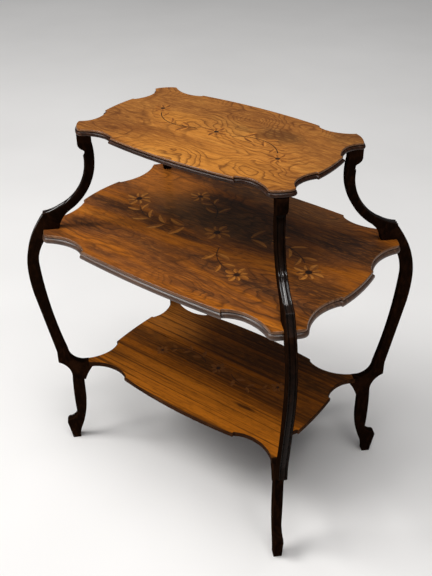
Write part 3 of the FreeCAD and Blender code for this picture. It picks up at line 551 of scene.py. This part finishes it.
def leg_inner_runs():
    """Down the inner side, from the seat to the bracket that the bottom tier's tongue lies on."""
    seat_under = (SEAT_REACH, MIDDLE_HEIGHT - MIDDLE_THICKNESS)
    inner_knee = (SEAT_REACH + LEG.inner_knee_run, MIDDLE_HEIGHT - LEG.inner_knee_drop)
    spur = (TONGUE_REACH - LEG.spur_run, BOTTOM_HEIGHT)
    spur_tip = moved(spur, 0, LEG.spur_blunt)
    bend_end = moved(spur_tip, LEG.spur_bend_run, LEG.spur_bend_rise)
    bracket = (TONGUE_REACH - LEG.bracket_run, SLOT_FLOOR)
    return [
        line_run(seat_under, steps=2, jointed=True),
        arc_run(inner_knee, LEG.inner_knee_bulge, RIGHT, steps=16),
        arc_run(bend_end, LEG.inner_shin_bulge, RIGHT, steps=24),
        arc_run(spur_tip, LEG.spur_bend_bulge, RIGHT, steps=16),
        line_run(spur),
        line_run((TONGUE_REACH, BOTTOM_HEIGHT), steps=2, jointed=True),
        line_run((TONGUE_REACH, SLOT_FLOOR), jointed=True),
        line_run(bracket, steps=2, jointed=True),
    ]


def leg_foot_runs():
    """Under the bracket, down the calf, round the foot and up to the throat below the beak."""
    throat = (TONGUE_REACH + LEG.throat_run, BOTTOM_HEIGHT - LEG.throat_drop)
    ankle = (TONGUE_REACH + LEG.ankle_run, LEG.ankle_height)
    toe_top = (ankle[0] + LEG.toe_top_run, LEG.toe_top_height)
    sole_inner = (TONGUE_REACH + LEG.sole_run, 0.0)
    sole_outer = moved(sole_inner, LEG.sole_length, 0)
    toe = moved(sole_outer, LEG.toe_overhang, LEG.toe_height)
    heel = moved(sole_inner, -LEG.heel_inset, LEG.heel_height)
    calf = (ankle[0] - LEG.calf_depth, LEG.calf_height)
    step_low = (calf[0], SLOT_FLOOR - LEG.bracket_drop)
    step_high = moved(step_low, -LEG.bracket_step_run, 0)
    return [
        arc_run(step_high, LEG.bracket_bulge, RIGHT, steps=8),
        line_run(step_low),
        line_run(calf, steps=6),
        arc_run(heel, LEG.calf_bulge, LEFT, steps=14),
        arc_run(sole_inner, LEG.heel_bulge, RIGHT, steps=6),
        line_run(sole_outer, steps=2),
        line_run(toe, steps=6),
        arc_run(toe_top, LEG.toe_bulge, LEFT, steps=8),
        arc_run(ankle, LEG.toe_top_bulge, RIGHT, steps=10),
        arc_run(throat, LEG.ankle_bulge, LEFT, steps=12),
    ]


def leg_outer_runs():
    """Up the outer side, from the throat over the beak, the shin and the knee to the head's outer corner."""
    beak_bottom = (TONGUE_REACH + LEG.beak_run, BOTTOM_HEIGHT + LEG.beak_bottom_rise)
    beak_top = (beak_bottom[0], BOTTOM_HEIGHT + LEG.beak_top_rise)
    beak_under = moved(beak_bottom, -LEG.beak_nose, -LEG.beak_nose)
    shin = (SEAT_REACH + LEG.shin_run, MIDDLE_HEIGHT - LEG.shin_drop)
    knee = (SEAT_REACH + LEG.knee_run, MIDDLE_HEIGHT - LEG.knee_drop)
    head_outer = (SEAT_REACH + LEG.head_run, MIDDLE_HEIGHT)
    return [
        arc_run(beak_under, LEG.throat_bulge, RIGHT, steps=12),
        arc_run(beak_bottom, LEG.beak_nose_bulge, LEFT, steps=4),
        line_run(beak_top, steps=8, moulded=True),
        line_run(shin, steps=16, moulded=True),
        arc_run(knee, LEG.shin_bulge, LEFT, steps=12, moulded=True),
        arc_run(head_outer, LEG.knee_upper_bulge, LEFT, steps=18, moulded=True),
    ]


def leg_outline():
    head_inner = (SEAT_REACH, MIDDLE_HEIGHT)
    runs = leg_inner_runs() + leg_foot_runs() + leg_outer_runs()
    return head_inner, runs + [line_run(head_inner, steps=2, jointed=True)]


# A support's runs are from the seat, and a corbel's sizes from its face
SUPPORT = SimpleNamespace(
    tab=30.0, beak_run=2.0, beak_bulge=0.7, hip_run=56.5, hip_bulge=4.4,
    corbel_reach=200.0, corbel_depth=29.0, corbel_round_run=9.0, corbel_bulge=3.2,
    corbel_step_run=3.5,
)
# Heights as shares of the rise from the middle tier to the underside of the top tier
BEAK_LOW_SHARE = 0.154
BEAK_HIGH_SHARE = 0.173
HIP_SHARE = 0.194
WAIST_TOP_SHARE = 0.818
CORBEL_LOW_SHARE = 0.829
INNER_START_SHARE = 0.879
CORBEL_FACE_SHARE = 0.907
SUPPORT_RISE = TOP_HEIGHT - TOP_THICKNESS - MIDDLE_HEIGHT
# Where the arcs of a long sweep meet, as shares of its run and rise, and their bulge as a share of the chord
OUTER_SWEEP_SHARES = ((0.578, 0.173), (0.948, 0.543))
OUTER_BULGE_SHARE = 0.0692
INNER_SWEEP_SHARES = ((-0.008, 0.379), (0.354, 0.733))
INNER_BULGE_SHARE = 0.0477
SWEEP_STEPS = 10


def sweep_runs(start, end, waypoint_shares, bulge_share, bend, moulded=False):
    """A long sweep in three arcs that bend the same way."""
    runs = []
    here = start
    for across_share, upright_share in (*waypoint_shares, (1, 1)):
        across = start[0] + (end[0] - start[0]) * across_share
        upright = start[1] + (end[1] - start[1]) * upright_share
        there = (across, upright)
        runs.append(arc_run(there, math.dist(here, there) * bulge_share, bend, SWEEP_STEPS, moulded))
        here = there
    return runs


def support_height(share):
    return MIDDLE_HEIGHT + SUPPORT_RISE * share


def support_outline():
    """Upper support from its foot on the middle tier up to the corbel under the top tier."""
    foot_inner = (SEAT_REACH - SUPPORT.tab, MIDDLE_HEIGHT)
    foot_outer = (SEAT_REACH + LEG.head_run, MIDDLE_HEIGHT)
    beak_low = (SEAT_REACH + SUPPORT.beak_run, support_height(BEAK_LOW_SHARE))
    beak_high = (SEAT_REACH + SUPPORT.beak_run / 2, support_height(BEAK_HIGH_SHARE))
    corbel_top = (SUPPORT.corbel_reach, support_height(1))
    corbel_face = (corbel_top[0], support_height(CORBEL_FACE_SHARE))
    corbel_low = (corbel_top[0] - SUPPORT.corbel_round_run, support_height(CORBEL_LOW_SHARE))
    waist_top = (corbel_low[0] - SUPPORT.corbel_step_run, support_height(WAIST_TOP_SHARE))
    corbel_inner = moved(corbel_top, -SUPPORT.corbel_depth, 0)
    inner_start = (corbel_inner[0], support_height(INNER_START_SHARE))
    hip = (SEAT_REACH - SUPPORT.hip_run, support_height(HIP_SHARE))
    runs = [
        line_run(foot_outer, steps=2, jointed=True),
        arc_run(beak_low, SUPPORT.beak_bulge, LEFT, steps=6, moulded=True),
        line_run(beak_high, moulded=True),
        *sweep_runs(beak_high, waist_top, OUTER_SWEEP_SHARES, OUTER_BULGE_SHARE, RIGHT, moulded=True),
        line_run(corbel_low),
        arc_run(corbel_face, SUPPORT.corbel_bulge, LEFT, steps=8),
        line_run(corbel_top, steps=2),
        line_run(corbel_inner, steps=2, jointed=True),
        line_run(inner_start, steps=2),
        *sweep_runs(inner_start, hip, INNER_SWEEP_SHARES, INNER_BULGE_SHARE, LEFT),
        arc_run(foot_inner, SUPPORT.hip_bulge, RIGHT, steps=12),
    ]
    return foot_inner, runs


# Materials
def srgb(red, green, blue):
    """Linear colour from display values out of 255."""
    channels = [value / 255 for value in (red, green, blue)]
    linear = [value / 12.92 if value < 0.04045 else ((value + 0.055) / 1.055) ** 2.4 for value in channels]
    return (*linear, 1.0)


PLAIN_SPECULAR = 0.2


class Shader:
    """A material under construction, fed from the object's own coordinates."""

    def __init__(self, name):
        self.material = bpy.data.materials.new(name)
        self.material.use_nodes = True
        self.tree = self.material.node_tree
        self.surface = self.tree.nodes["Principled BSDF"]
        self.place = self.node("ShaderNodeTexCoord").outputs["Object"]

    def feed(self, node, inputs):
        """Link each input to a socket, or set it to a constant."""
        for key, value in inputs.items():
            if isinstance(value, bpy.types.NodeSocket):
                self.tree.links.new(value, node.inputs[key])
            else:
                node.inputs[key].default_value = value

    def node(self, kind, inputs=None, **settings):
        node = self.tree.nodes.new(kind)
        for key, value in settings.items():
            setattr(node, key, value)
        self.feed(node, inputs or {})
        return node

    def mapped(self, scale=(1, 1, 1), turn=(0, 0, 0), shift=(0, 0, 0), vector=None):
        angles = [math.radians(angle) for angle in turn]
        inputs = {"Vector": vector or self.place, "Scale": scale, "Rotation": angles, "Location": shift}
        return self.node("ShaderNodeMapping", inputs).outputs["Vector"]

    def noise(self, vector, detail, roughness=0.5, distortion=0.0):
        """Noise from 0 to 1, at the scale that the vector was mapped to."""
        inputs = {"Vector": vector, "Scale": 1.0, "Detail": detail}
        inputs |= {"Roughness": roughness, "Distortion": distortion}
        return self.node("ShaderNodeTexNoise", inputs).outputs[0]

    def math(self, operation, first, second=0.0):
        return self.node("ShaderNodeMath", {0: first, 1: second}, operation=operation).outputs[0]

    def spread(self, value, low, high, to_low=0.0, to_high=1.0):
        """Map a range of a value to another range, and hold it there."""
        inputs = {0: value, 1: low, 2: high, 3: to_low, 4: to_high}
        return self.node("ShaderNodeMapRange", inputs).outputs[0]

    def ramp(self, value, stops):
        """Colour of a value between stops, each given as a position and a colour."""
        node = self.node("ShaderNodeValToRGB", {0: value})
        band = node.color_ramp
        while len(band.elements) < len(stops):
            band.elements.new(1.0)
        for element, (position, colour) in zip(band.elements, stops):
            element.position = position
            element.color = colour
        return node.outputs[0]

    def mix(self, share, first, second):
        """A share of the second colour in the first. The numbers are the node's colour sockets."""
        return self.node("ShaderNodeMix", {0: share, 6: first, 7: second}, data_type="RGBA").outputs[2]

    def along(self, axis):
        """Coordinate of the point along X, Y or Z, in metres."""
        return self.node("ShaderNodeSeparateXYZ", {0: self.place}).outputs[axis]

    def finish(self, colour, roughness, height, bump, specular=PLAIN_SPECULAR):
        """Set the surface. Bump is how far in metres the height field stands out."""
        relief = self.node("ShaderNodeBump", {"Strength": 1.0, "Distance": bump, "Height": height})
        self.feed(self.surface, {"Base Color": colour, "Roughness": roughness, "Normal": relief.outputs[0]})
        self.feed(self.surface, {"Specular IOR Level": specular})
        return self.material


# Scales of the noises, per metre along and across the grain
FIBRE_SCALE = (9, 190, 60)
PORE_SCALE = (45, 800, 200)
PATCH_SCALE = (2.2, 5.0, 3.0)
FLECK_SCALE = (42, 230, 1)
RAGGED_SCALE = (9, 26, 1)
RUBBED_SCALE = (30, 30, 30)


def fibre_fields(shader, grain, seed):
    """Fine fibre and open pores along a grain direction."""
    fibre = shader.noise(shader.mapped(FIBRE_SCALE, grain, (seed, 0, 0)), 5.0, 0.6, 0.4)
    pores = shader.noise(shader.mapped(PORE_SCALE, grain, (0, seed, 0)), 2.0)
    return fibre, pores


def warped(shader, vector, scale, reach):
    """A vector pushed about by slow noise, so that what it drives wanders."""
    slow = shader.node("ShaderNodeTexNoise", {"Vector": vector, "Scale": scale, "Detail": 2.0})
    inputs = {0: slow.outputs["Color"], 1: (reach, reach, reach), 2: vector}
    return shader.node("ShaderNodeVectorMath", inputs, operation="MULTIPLY_ADD").outputs[0]


RING_WANDER = 2.2
RING_SOFTNESS = 0.8
RING_SHARPNESS = 2.4
# Limits for Shader.spread: low and high, then to_low and to_high
RING_RISE = (0.35, 0.86)
RING_FALL = (0.9, 1.0, 1.0, 0.0)


def nested_lines(shader, scale, grain, seed, count, reach):
    """Growth rings as a saw through them shows: nests of arcs about a few centres. Dark line is 1."""
    vector = warped(shader, shader.mapped(scale, grain, (seed, seed, 0.5)), RING_WANDER, reach)
    inputs = {"Vector": vector, "Scale": 1.0, "Smoothness": RING_SOFTNESS}
    cells = shader.node("ShaderNodeTexVoronoi", inputs, feature="SMOOTH_F1")
    rings = shader.math("FRACT", shader.math("MULTIPLY", cells.outputs["Distance"], count))
    rise = shader.spread(rings, *RING_RISE)
    fall = shader.spread(rings, *RING_FALL)
    return shader.math("MULTIPLY", shader.math("POWER", rise, RING_SHARPNESS), fall)


# Distances, as shares of a spot's radii, between which it fades
SPOT_EDGE = (0.5, 1.1)


def spot(shader, centre, radii, turn, wobble):
    """1 inside a soft oval on a tier and 0 outside, with a wavering edge."""
    offset = shader.node("ShaderNodeVectorMath", {0: shader.place, 1: (*centre, 0.0)}, operation="SUBTRACT")
    scale = (1 / radii[0], 1 / radii[1], 0.0)
    radial = shader.mapped(scale, (0, 0, -turn), vector=offset.outputs[0])
    length = shader.node("ShaderNodeVectorMath", {0: radial}, operation="LENGTH")
    ragged = shader.noise(shader.mapped(RAGGED_SCALE), 4.0, 0.65, 0.4)
    distance = shader.math("ADD", length.outputs["Value"], shader.math("MULTIPLY", ragged, wobble))
    inner, outer = (edge + wobble / 2 for edge in SPOT_EDGE)
    return shader.spread(distance, inner, outer, 1.0, 0.0)


def toned(shader, scale, grain, seed, shift, stops):
    """Wood tones along the grain. Shift lifts the tone where it is high."""
    field = shader.noise(shader.mapped(scale, grain, (seed, seed, 0)), 4.0, 0.58, 0.7)
    return shader.ramp(shader.math("ADD", field, shift), stops)


VENEER_SPECULAR = 0.12
VENEER_BUMP = 0.00006
# Limits for Shader.spread
VENEER_FIBRE = (0.46, 0.7, 0.0, 0.4)
DARK_FLECKS = (0.5, 0.72, 0.0, 0.45)
PALE_FLECKS = (0.5, 0.26, 0.0, 0.45)
VENEER_PORES = (0.6, 0.7, 0.0, 0.5)
VENEER_ROUGHNESS = (0.3, 0.8, 0.26, 0.4)


def finish_veneer(shader, colour, rings, grain, seed, dark, pale):
    """Lay flecks, growth rings, fibre and pores over a veneer's tones."""
    fibre, pores = fibre_fields(shader, grain, seed)
    flecks = shader.noise(shader.mapped(FLECK_SCALE, grain, (seed, 0, 0)), 4.0, 0.62, 0.6)
    colour = shader.mix(shader.spread(fibre, *VENEER_FIBRE), colour, dark)
    colour = shader.mix(shader.spread(flecks, *DARK_FLECKS), colour, dark)
    colour = shader.mix(shader.spread(flecks, *PALE_FLECKS), colour, pale)
    colour = shader.mix(rings, colour, dark)
    colour = shader.mix(shader.spread(pores, *VENEER_PORES), colour, dark)
    roughness = shader.spread(fibre, *VENEER_ROUGHNESS)
    return shader.finish(colour, roughness, fibre, VENEER_BUMP, VENEER_SPECULAR)


def patchy(shader, lines, scale, low, high, faint, strong):
    """Growth rings that show strongly in some places and faintly in others."""
    weight = shader.noise(shader.mapped(scale), 2.0)
    return shader.math("MULTIPLY", lines, shader.spread(weight, low, high, faint, strong))


SPOT_WOBBLE = 0.8


def shaded(shader, colour, tone, spots):
    """Soft ovals of another tone, each as centre and radii in metres, turn and strength: figure, painted
    light and painted shade.
    """
    for centre, radii, turn, strength in spots:
        oval = spot(shader, centre, radii, turn, SPOT_WOBBLE)
        colour = shader.mix(shader.math("MULTIPLY", oval, strength), colour, tone)
    return colour


def top_veneer():
    """Golden brown in even curls, darker round the rim."""
    dark = srgb(92, 50, 20)
    pale = srgb(212, 146, 68)
    grain = (0, 0, 8)
    seed = 3.1
    shader = Shader("top_veneer_polished")
    colour = toned(shader, (3.0, 15.0, 1.0), grain, seed, 0.0, [
        (0.3, srgb(138, 82, 33)), (0.44, srgb(163, 101, 40)),
        (0.56, srgb(185, 117, 47)), (0.7, srgb(204, 138, 60)),
    ])
    rim = shader.math("SUBTRACT", 1.0, spot(shader, (0.035, -0.105), (0.25, 0.165), 0, 0.5))
    colour = shader.mix(shader.math("MULTIPLY", rim, 0.5), colour, srgb(116, 73, 38))
    colour = shaded(shader, colour, srgb(78, 52, 28), (
        ((0.108, 0.056), (0.06, 0.035), 0, 0.65),
        ((0.235, 0.13), (0.06, 0.05), 0, 0.5),
        ((0.03, 0.045), (0.03, 0.01), -10, 0.5),
    ))
    colour = shaded(shader, colour, srgb(206, 134, 52), (
        ((-0.11, 0.01), (0.075, 0.04), 10, 0.55),
        ((-0.01, -0.02), (0.05, 0.022), 5, 0.45),
        ((0.08, -0.12), (0.2, 0.055), -8, 0.55),
    ))
    rings = nested_lines(shader, (6.5, 9.0, 1.0), (0, 0, 12), seed, 19.0, 0.35)
    rings = patchy(shader, rings, (5, 8, 1), 0.36, 0.54, 0.12, 0.75)
    return finish_veneer(shader, colour, rings, grain, seed, dark, pale)


def middle_veneer():
    """Streaked red brown with dark figure; paler to the front, partly tone and partly painted light; painted
    light and shade in ovals.
    """
    dark = srgb(46, 29, 21)
    pale = srgb(190, 116, 48)
    grain = (0, 0, -5)
    seed = 7.7
    shader = Shader("middle_veneer_polished")
    # Paler towards the front: partly the veneer's own tone, partly painted light where the front-left lamp
    # falls
    front = shader.spread(shader.along("Y"), 0.04, -0.19, 0.04, 0.155)
    colour = toned(shader, (1.5, 11.0, 1.0), grain, seed, front, [
        (0.34, dark), (0.43, srgb(88, 54, 32)), (0.53, srgb(130, 74, 31)), (0.64, srgb(164, 92, 22)),
        (0.78, srgb(188, 112, 34)),
    ])
    # Painted light: a paler oval at the back left
    colour = shaded(shader, colour, srgb(192, 113, 42), (((-0.235, 0.11), (0.12, 0.075), 0, 0.85),))
    # Painted light: lighter brown ovals over the shadow that the top tier casts, which lift that shade
    colour = shaded(shader, colour, srgb(110, 77, 48), (
        ((-0.04, 0.05), (0.19, 0.08), -6, 0.8),
        ((0.08, 0.19), (0.18, 0.05), 0, 0.6),
    ))
    colour = shaded(shader, colour, dark, (
        # Dark streaks of figure
        ((-0.26, -0.03), (0.16, 0.022), -4, 0.8),
        ((-0.265, -0.135), (0.06, 0.018), -4, 0.75),
        ((-0.09, -0.05), (0.12, 0.016), -10, 0.75),
        # Painted shade: the two ovals on the right side
        ((0.285, -0.065), (0.09, 0.05), 12, 0.75),
        ((0.265, 0.145), (0.08, 0.05), 0, 0.35),
    ))
    rings = nested_lines(shader, (4.2, 10.0, 1.0), (0, 0, -12), 4.4, 17.0, 0.4)
    rings = patchy(shader, rings, (4, 7, 1), 0.4, 0.58, 0.1, 0.6)
    return finish_veneer(shader, colour, rings, grain, seed, dark, pale)


def bottom_veneer():
    """Straight pinstriped grain along the board; paler to the front, partly tone and partly painted light;
    painted light and shade in ovals.
    """
    dark = srgb(54, 29, 10)
    pale = srgb(180, 102, 24)
    grain = (0, 0, 2)
    seed = 12.4
    shader = Shader("bottom_veneer_polished")
    # Paler towards the front: partly the veneer's own tone, partly painted light where the front-left lamp
    # falls
    front = shader.spread(shader.along("Y"), 0.08, -0.14, 0.0, 0.21)
    colour = toned(shader, (1.0, 16.0, 1.0), grain, seed, front, [
        (0.36, srgb(88, 51, 17)), (0.5, srgb(126, 70, 18)),
        (0.62, srgb(162, 90, 14)), (0.75, srgb(184, 106, 24)),
    ])
    # Painted light: a paler oval at the back left
    colour = shaded(shader, colour, srgb(190, 116, 44), (((-0.2, 0.08), (0.11, 0.075), 0, 0.7),))
    colour = shaded(shader, colour, dark, (
        # Two small dark knots and a faint darker patch at the front left
        ((0.13, -0.075), (0.035, 0.006), -8, 0.85),
        ((-0.2, 0.02), (0.04, 0.01), 4, 0.6),
        ((-0.25, -0.1), (0.07, 0.03), -6, 0.3),
        # Painted shade: a dark oval at the back right, under the middle tier
        ((0.13, 0.14), (0.19, 0.075), 0, 0.45),
    ))
    stripes = shader.noise(shader.mapped((0.9, 130.0, 1.0), grain, (5.0, 0, 0)), 2.0, distortion=0.3)
    rings = shader.spread(stripes, 0.5, 0.6, 0.0, 0.7)
    return finish_veneer(shader, colour, rings, grain, seed, dark, pale)


WOOD_BUMP = 0.00004
ROUGHNESS_RANGE = 0.16
COAT_ROUGHNESS = 0.12
# Limits for Shader.spread
WOOD_PATCHES = (0.4, 0.7, 0.0, 0.6)
WOOD_PORES = (0.64, 0.72, 0.0, 0.5)
HANDLING = (0.35, 0.65, 0.25, 1.0)
UNEVENNESS = (0.7, 1.4)
# Pointiness over which an arris wears pale, and under which a hollow stays dark
CREST_RANGE = (0.505, 0.56)
HOLLOW_RANGE = (0.495, 0.44, 0.0, 0.7)


def solid_wood(
        name, tones, seed, gloss, wear, grain=(0, 0, 0), specular=PLAIN_SPECULAR, bump=WOOD_BUMP, wax=None):
    """Solid polished wood: long fibre, darker hollows and paler worn edges.

    Wax, where it is given, is a clear coat: full at the first height in metres, and gone at the second.
    """
    dark, middle, light = tones
    shader = Shader(name)
    fibre, pores = fibre_fields(shader, grain, seed)
    patches = shader.noise(shader.mapped(PATCH_SCALE, grain, (seed, seed, 0)), 2.5, distortion=0.6)
    colour = shader.ramp(fibre, [(0.28, dark), (0.52, middle), (0.78, light)])
    colour = shader.mix(shader.spread(patches, *WOOD_PATCHES), colour, dark)
    colour = shader.mix(shader.spread(pores, *WOOD_PORES), colour, dark)
    crest = shader.node("ShaderNodeNewGeometry").outputs["Pointiness"]
    rubbed = shader.noise(shader.mapped(RUBBED_SCALE), 3.0, 0.6)
    handling = shader.spread(rubbed, *HANDLING)
    worn = shader.math("MULTIPLY", shader.spread(crest, *CREST_RANGE), handling)
    colour = shader.mix(shader.math("MULTIPLY", worn, wear), colour, light)
    colour = shader.mix(shader.spread(crest, *HOLLOW_RANGE), colour, dark)
    unevenness = shader.math("ADD", fibre, rubbed)
    roughness = shader.spread(unevenness, *UNEVENNESS, gloss, gloss + ROUGHNESS_RANGE)
    if wax:
        coat = shader.spread(shader.along("Z"), *wax, 1.0, 0.0)
        shader.feed(shader.surface, {"Coat Weight": coat, "Coat Roughness": COAT_ROUGHNESS})
    return shader.finish(colour, roughness, fibre, bump, specular)


# Solid woods by finish: tones from dark to light, and gloss as the lowest roughness
UPRIGHT = (0, 90, 0)
LEG_TONES = (srgb(10, 6, 3), srgb(22, 12, 7), srgb(50, 28, 15))
SOLID_WOODS = {
    "tier_wood": {
        "name": "tier_wood_polished", "tones": (srgb(44, 28, 19), srgb(84, 57, 40), srgb(130, 97, 73)),
        "seed": 31.0, "gloss": 0.3, "wear": 0.3, "specular": 0.6, "bump": 0.000008,
    },
    "top_edge_wood": {
        "name": "top_edge_wood_rubbed", "tones": (srgb(26, 14, 9), srgb(50, 28, 17), srgb(84, 52, 33)),
        "seed": 32.0, "gloss": 0.24, "wear": 0.3, "bump": 0.000008,
    },
    "lip_wood": {
        "name": "lip_wood_polished", "tones": (srgb(78, 47, 24), srgb(118, 76, 42), srgb(156, 112, 72)),
        "seed": 33.0, "gloss": 0.22, "wear": 0.4, "specular": 0.45, "bump": 0.000015,
    },
    "dark_edge_wood": {
        "name": "dark_edge_wood_worn", "tones": (srgb(26, 14, 8), srgb(58, 34, 18), srgb(104, 66, 36)),
        "seed": 35.0, "gloss": 0.4, "wear": 0.5, "specular": 0.01,
    },
    "leg_wood": {
        "name": "leg_wood_rubbed", "tones": LEG_TONES, "grain": UPRIGHT,
        "seed": 37.0, "gloss": 0.4, "wear": 0.5, "specular": 0.0,
    },
    "leg_front_wood": {
        "name": "leg_front_wood_waxed", "tones": LEG_TONES, "grain": UPRIGHT,
        "seed": 38.0, "gloss": 0.22, "wear": 0.5, "specular": 0.03, "bump": 0.00002,
    },
    "moulding_wood": {
        "name": "moulding_wood_waxed", "tones": LEG_TONES, "grain": UPRIGHT,
        "seed": 39.0, "gloss": 0.3, "wear": 0.5, "specular": 0.02, "bump": 0.00001,
        "wax": (0.675, 0.72),
    },
    "dowel_wood": {
        "name": "dowel_wood_bare", "tones": (srgb(140, 104, 62), srgb(190, 152, 102), srgb(214, 182, 134)),
        "grain": UPRIGHT, "seed": 41.0, "gloss": 0.6, "wear": 0.2,
    },
}
INLAY_TONES = {
    "pale_inlay": (srgb(140, 84, 30), srgb(184, 116, 46), srgb(210, 146, 68)),
    "faded_inlay": (srgb(96, 55, 18), srgb(136, 79, 26), srgb(166, 102, 40)),
    "shaded_inlay": (srgb(84, 46, 18), srgb(132, 76, 28), srgb(168, 104, 42)),
    "dark_inlay": (srgb(30, 17, 10), srgb(52, 30, 17), srgb(80, 48, 26)),
}
INLAY_GLOSS = 0.28
INLAY_SEED = 20.0
INLAY_TURN = 25
INLAY_TURN_STEP = 30


def dull_steel():
    shader = Shader("screw_steel_dull")
    stain = shader.noise(shader.mapped((400, 400, 400)), 4.0, 0.6)
    shader.feed(shader.surface, {"Metallic": 1.0})
    tone = shader.ramp(stain, [(0.3, srgb(96, 88, 80)), (0.7, srgb(168, 164, 158))])
    return shader.finish(tone, shader.spread(stain, 0.3, 0.7, 0.5, 0.3), stain, WOOD_BUMP)


def make_materials():
    """Every finish by the name that the record or this script gives it."""
    made = {"top_veneer": top_veneer(), "middle_veneer": middle_veneer(), "bottom_veneer": bottom_veneer()}
    for number, (finish, tones) in enumerate(INLAY_TONES.items()):
        grain = (0, 0, INLAY_TURN + INLAY_TURN_STEP * number)
        made[finish] = solid_wood(f"{finish}_polished", tones, INLAY_SEED + number, INLAY_GLOSS, 0.0, grain)
    for finish, wood in SOLID_WOODS.items():
        made[finish] = solid_wood(**wood)
    made["screw_steel"] = dull_steel()
    return made


# The object
# Finishes of each board: its edge's, then its lip's or its tongues'
EDGE_FINISHES = {
    "top": ("top_edge_wood", "lip_wood"),
    "middle": ("tier_wood", "lip_wood"),
    "bottom": ("dark_edge_wood", "leg_wood"),
}


def build_table(materials):
    for tier in TIERS:
        build_board(tier, [materials[finish] for finish in EDGE_FINISHES[tier]])
    leg_finishes = (materials["leg_wood"], materials["leg_front_wood"])
    support_finishes = (materials["leg_wood"], materials["moulding_wood"])
    for corner in CORNERS:
        build_sawn_piece("leg", corner, leg_outline(), LEG_FADE, leg_finishes)
        build_sawn_piece("support", corner, support_outline(), SUPPORT_FADE, support_finishes, SUPPORT_CROWN)


def finish_solids(materials):
    """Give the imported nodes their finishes. The bottom tier's leaves are more faded than the others'."""
    for entry in frame["record"]["subparts"]:
        finish = "faded_inlay" if entry["node"] == "bottom_tier_leaves" else entry["material_slot"]
        for slot in nodes[entry["node"]].material_slots:
            slot.material = materials[finish]


# Floor, light and camera
FLOOR_SIZE = 60.0
FLOOR_TONES = (srgb(240, 239, 238), srgb(247, 246, 245))
FLOOR_ROUGHNESS = 0.75
FLOOR_BUMP = 0.0002


def build_floor():
    bpy.ops.mesh.primitive_plane_add(size=FLOOR_SIZE, location=(0.0, 0.0, 0.0))
    floor = bpy.context.object
    floor.name = "pale_floor"
    shader = Shader("pale_floor_paint")
    mottle = shader.noise(shader.mapped((1.2, 1.2, 1.2)), 3.0)
    colour = shader.ramp(mottle, [(0.3, FLOOR_TONES[0]), (0.7, FLOOR_TONES[1])])
    floor.data.materials.append(shader.finish(colour, FLOOR_ROUGHNESS, mottle, FLOOR_BUMP))


# Each lamp's name, place, aim, width, height, power in watts and tint
SOFTBOXES = (
    ("key_left", (-2.95, -2.7, 5.3), (0.0, 0.0, 0.5), 2.3, 2.3, 216.0, (1.0, 0.99, 0.975)),
    ("overhead", (0.7, -0.7, 6.9), (0.0, 0.0, 0.5), 3.4, 3.4, 220.0, (1.0, 0.99, 0.98)),
    ("strip_left", (-1.1, -1.5, 1.6), (0.0, 0.0, 0.6), 1.4, 0.08, 5.0, (1.0, 0.98, 0.96)),
    ("strip_high", (1.2, -0.85, 2.35), (0.2, -0.2, 0.65), 0.9, 0.08, 7.0, (1.0, 0.98, 0.96)),
)
WORLD_TINT = (0.95, 0.97, 1.0, 1.0)
WORLD_STRENGTH = 0.12


def add_softbox(name, place, aim, width, height, power, tint):
    light = bpy.data.lights.new(name, "AREA")
    light.shape = "RECTANGLE"
    light.size = width
    light.size_y = height
    light.energy = power
    light.color = tint
    lamp = bpy.data.objects.new(name, light)
    lamp.location = place
    lamp.rotation_euler = (Vector(aim) - Vector(place)).to_track_quat("-Z", "Y").to_euler()
    bpy.context.scene.collection.objects.link(lamp)


def light_scene():
    for softbox in SOFTBOXES:
        add_softbox(*softbox)
    world = bpy.data.worlds.new("studio")
    bpy.context.scene.world = world
    world.use_nodes = True
    backdrop = world.node_tree.nodes["Background"]
    backdrop.inputs["Color"].default_value = WORLD_TINT
    backdrop.inputs["Strength"].default_value = WORLD_STRENGTH


# The photo's camera: its place in metres and its turns in degrees
CAMERA_PLACE = (0.8944, -1.1725, 1.4439)
CAMERA_YAW = 37.485
CAMERA_PITCH = -33.449
CAMERA_ROLL = -0.6
FOCAL_PIXELS = 791.0
PHOTO_HEIGHT_PIXELS = 576
SENSOR_HEIGHT = 36.0
CLIP_END = 120.0


def place_camera():
    yaw = math.radians(CAMERA_YAW)
    pitch = math.radians(CAMERA_PITCH)
    forward = Vector((-math.sin(yaw) * math.cos(pitch), math.cos(yaw) * math.cos(pitch), math.sin(pitch)))
    right = Vector((math.cos(yaw), math.sin(yaw), 0.0))
    up = right.cross(forward)
    axes = Matrix((right, up, -forward)).transposed()
    camera = bpy.data.cameras.new("studio_camera")
    camera.sensor_fit = "VERTICAL"
    camera.sensor_height = SENSOR_HEIGHT
    camera.lens = FOCAL_PIXELS * SENSOR_HEIGHT / PHOTO_HEIGHT_PIXELS
    camera.clip_end = CLIP_END
    viewer = bpy.data.objects.new("studio_camera", camera)
    roll = Matrix.Rotation(math.radians(CAMERA_ROLL), 4, "Z")
    viewer.matrix_world = Matrix.Translation(CAMERA_PLACE) @ axes.to_4x4() @ roll
    bpy.context.scene.collection.objects.link(viewer)
    bpy.context.scene.camera = viewer


materials = make_materials()
build_table(materials)
finish_solids(materials)
build_floor()
light_scene()
place_camera()
bpy.context.scene.view_settings.view_transform = "Standard"
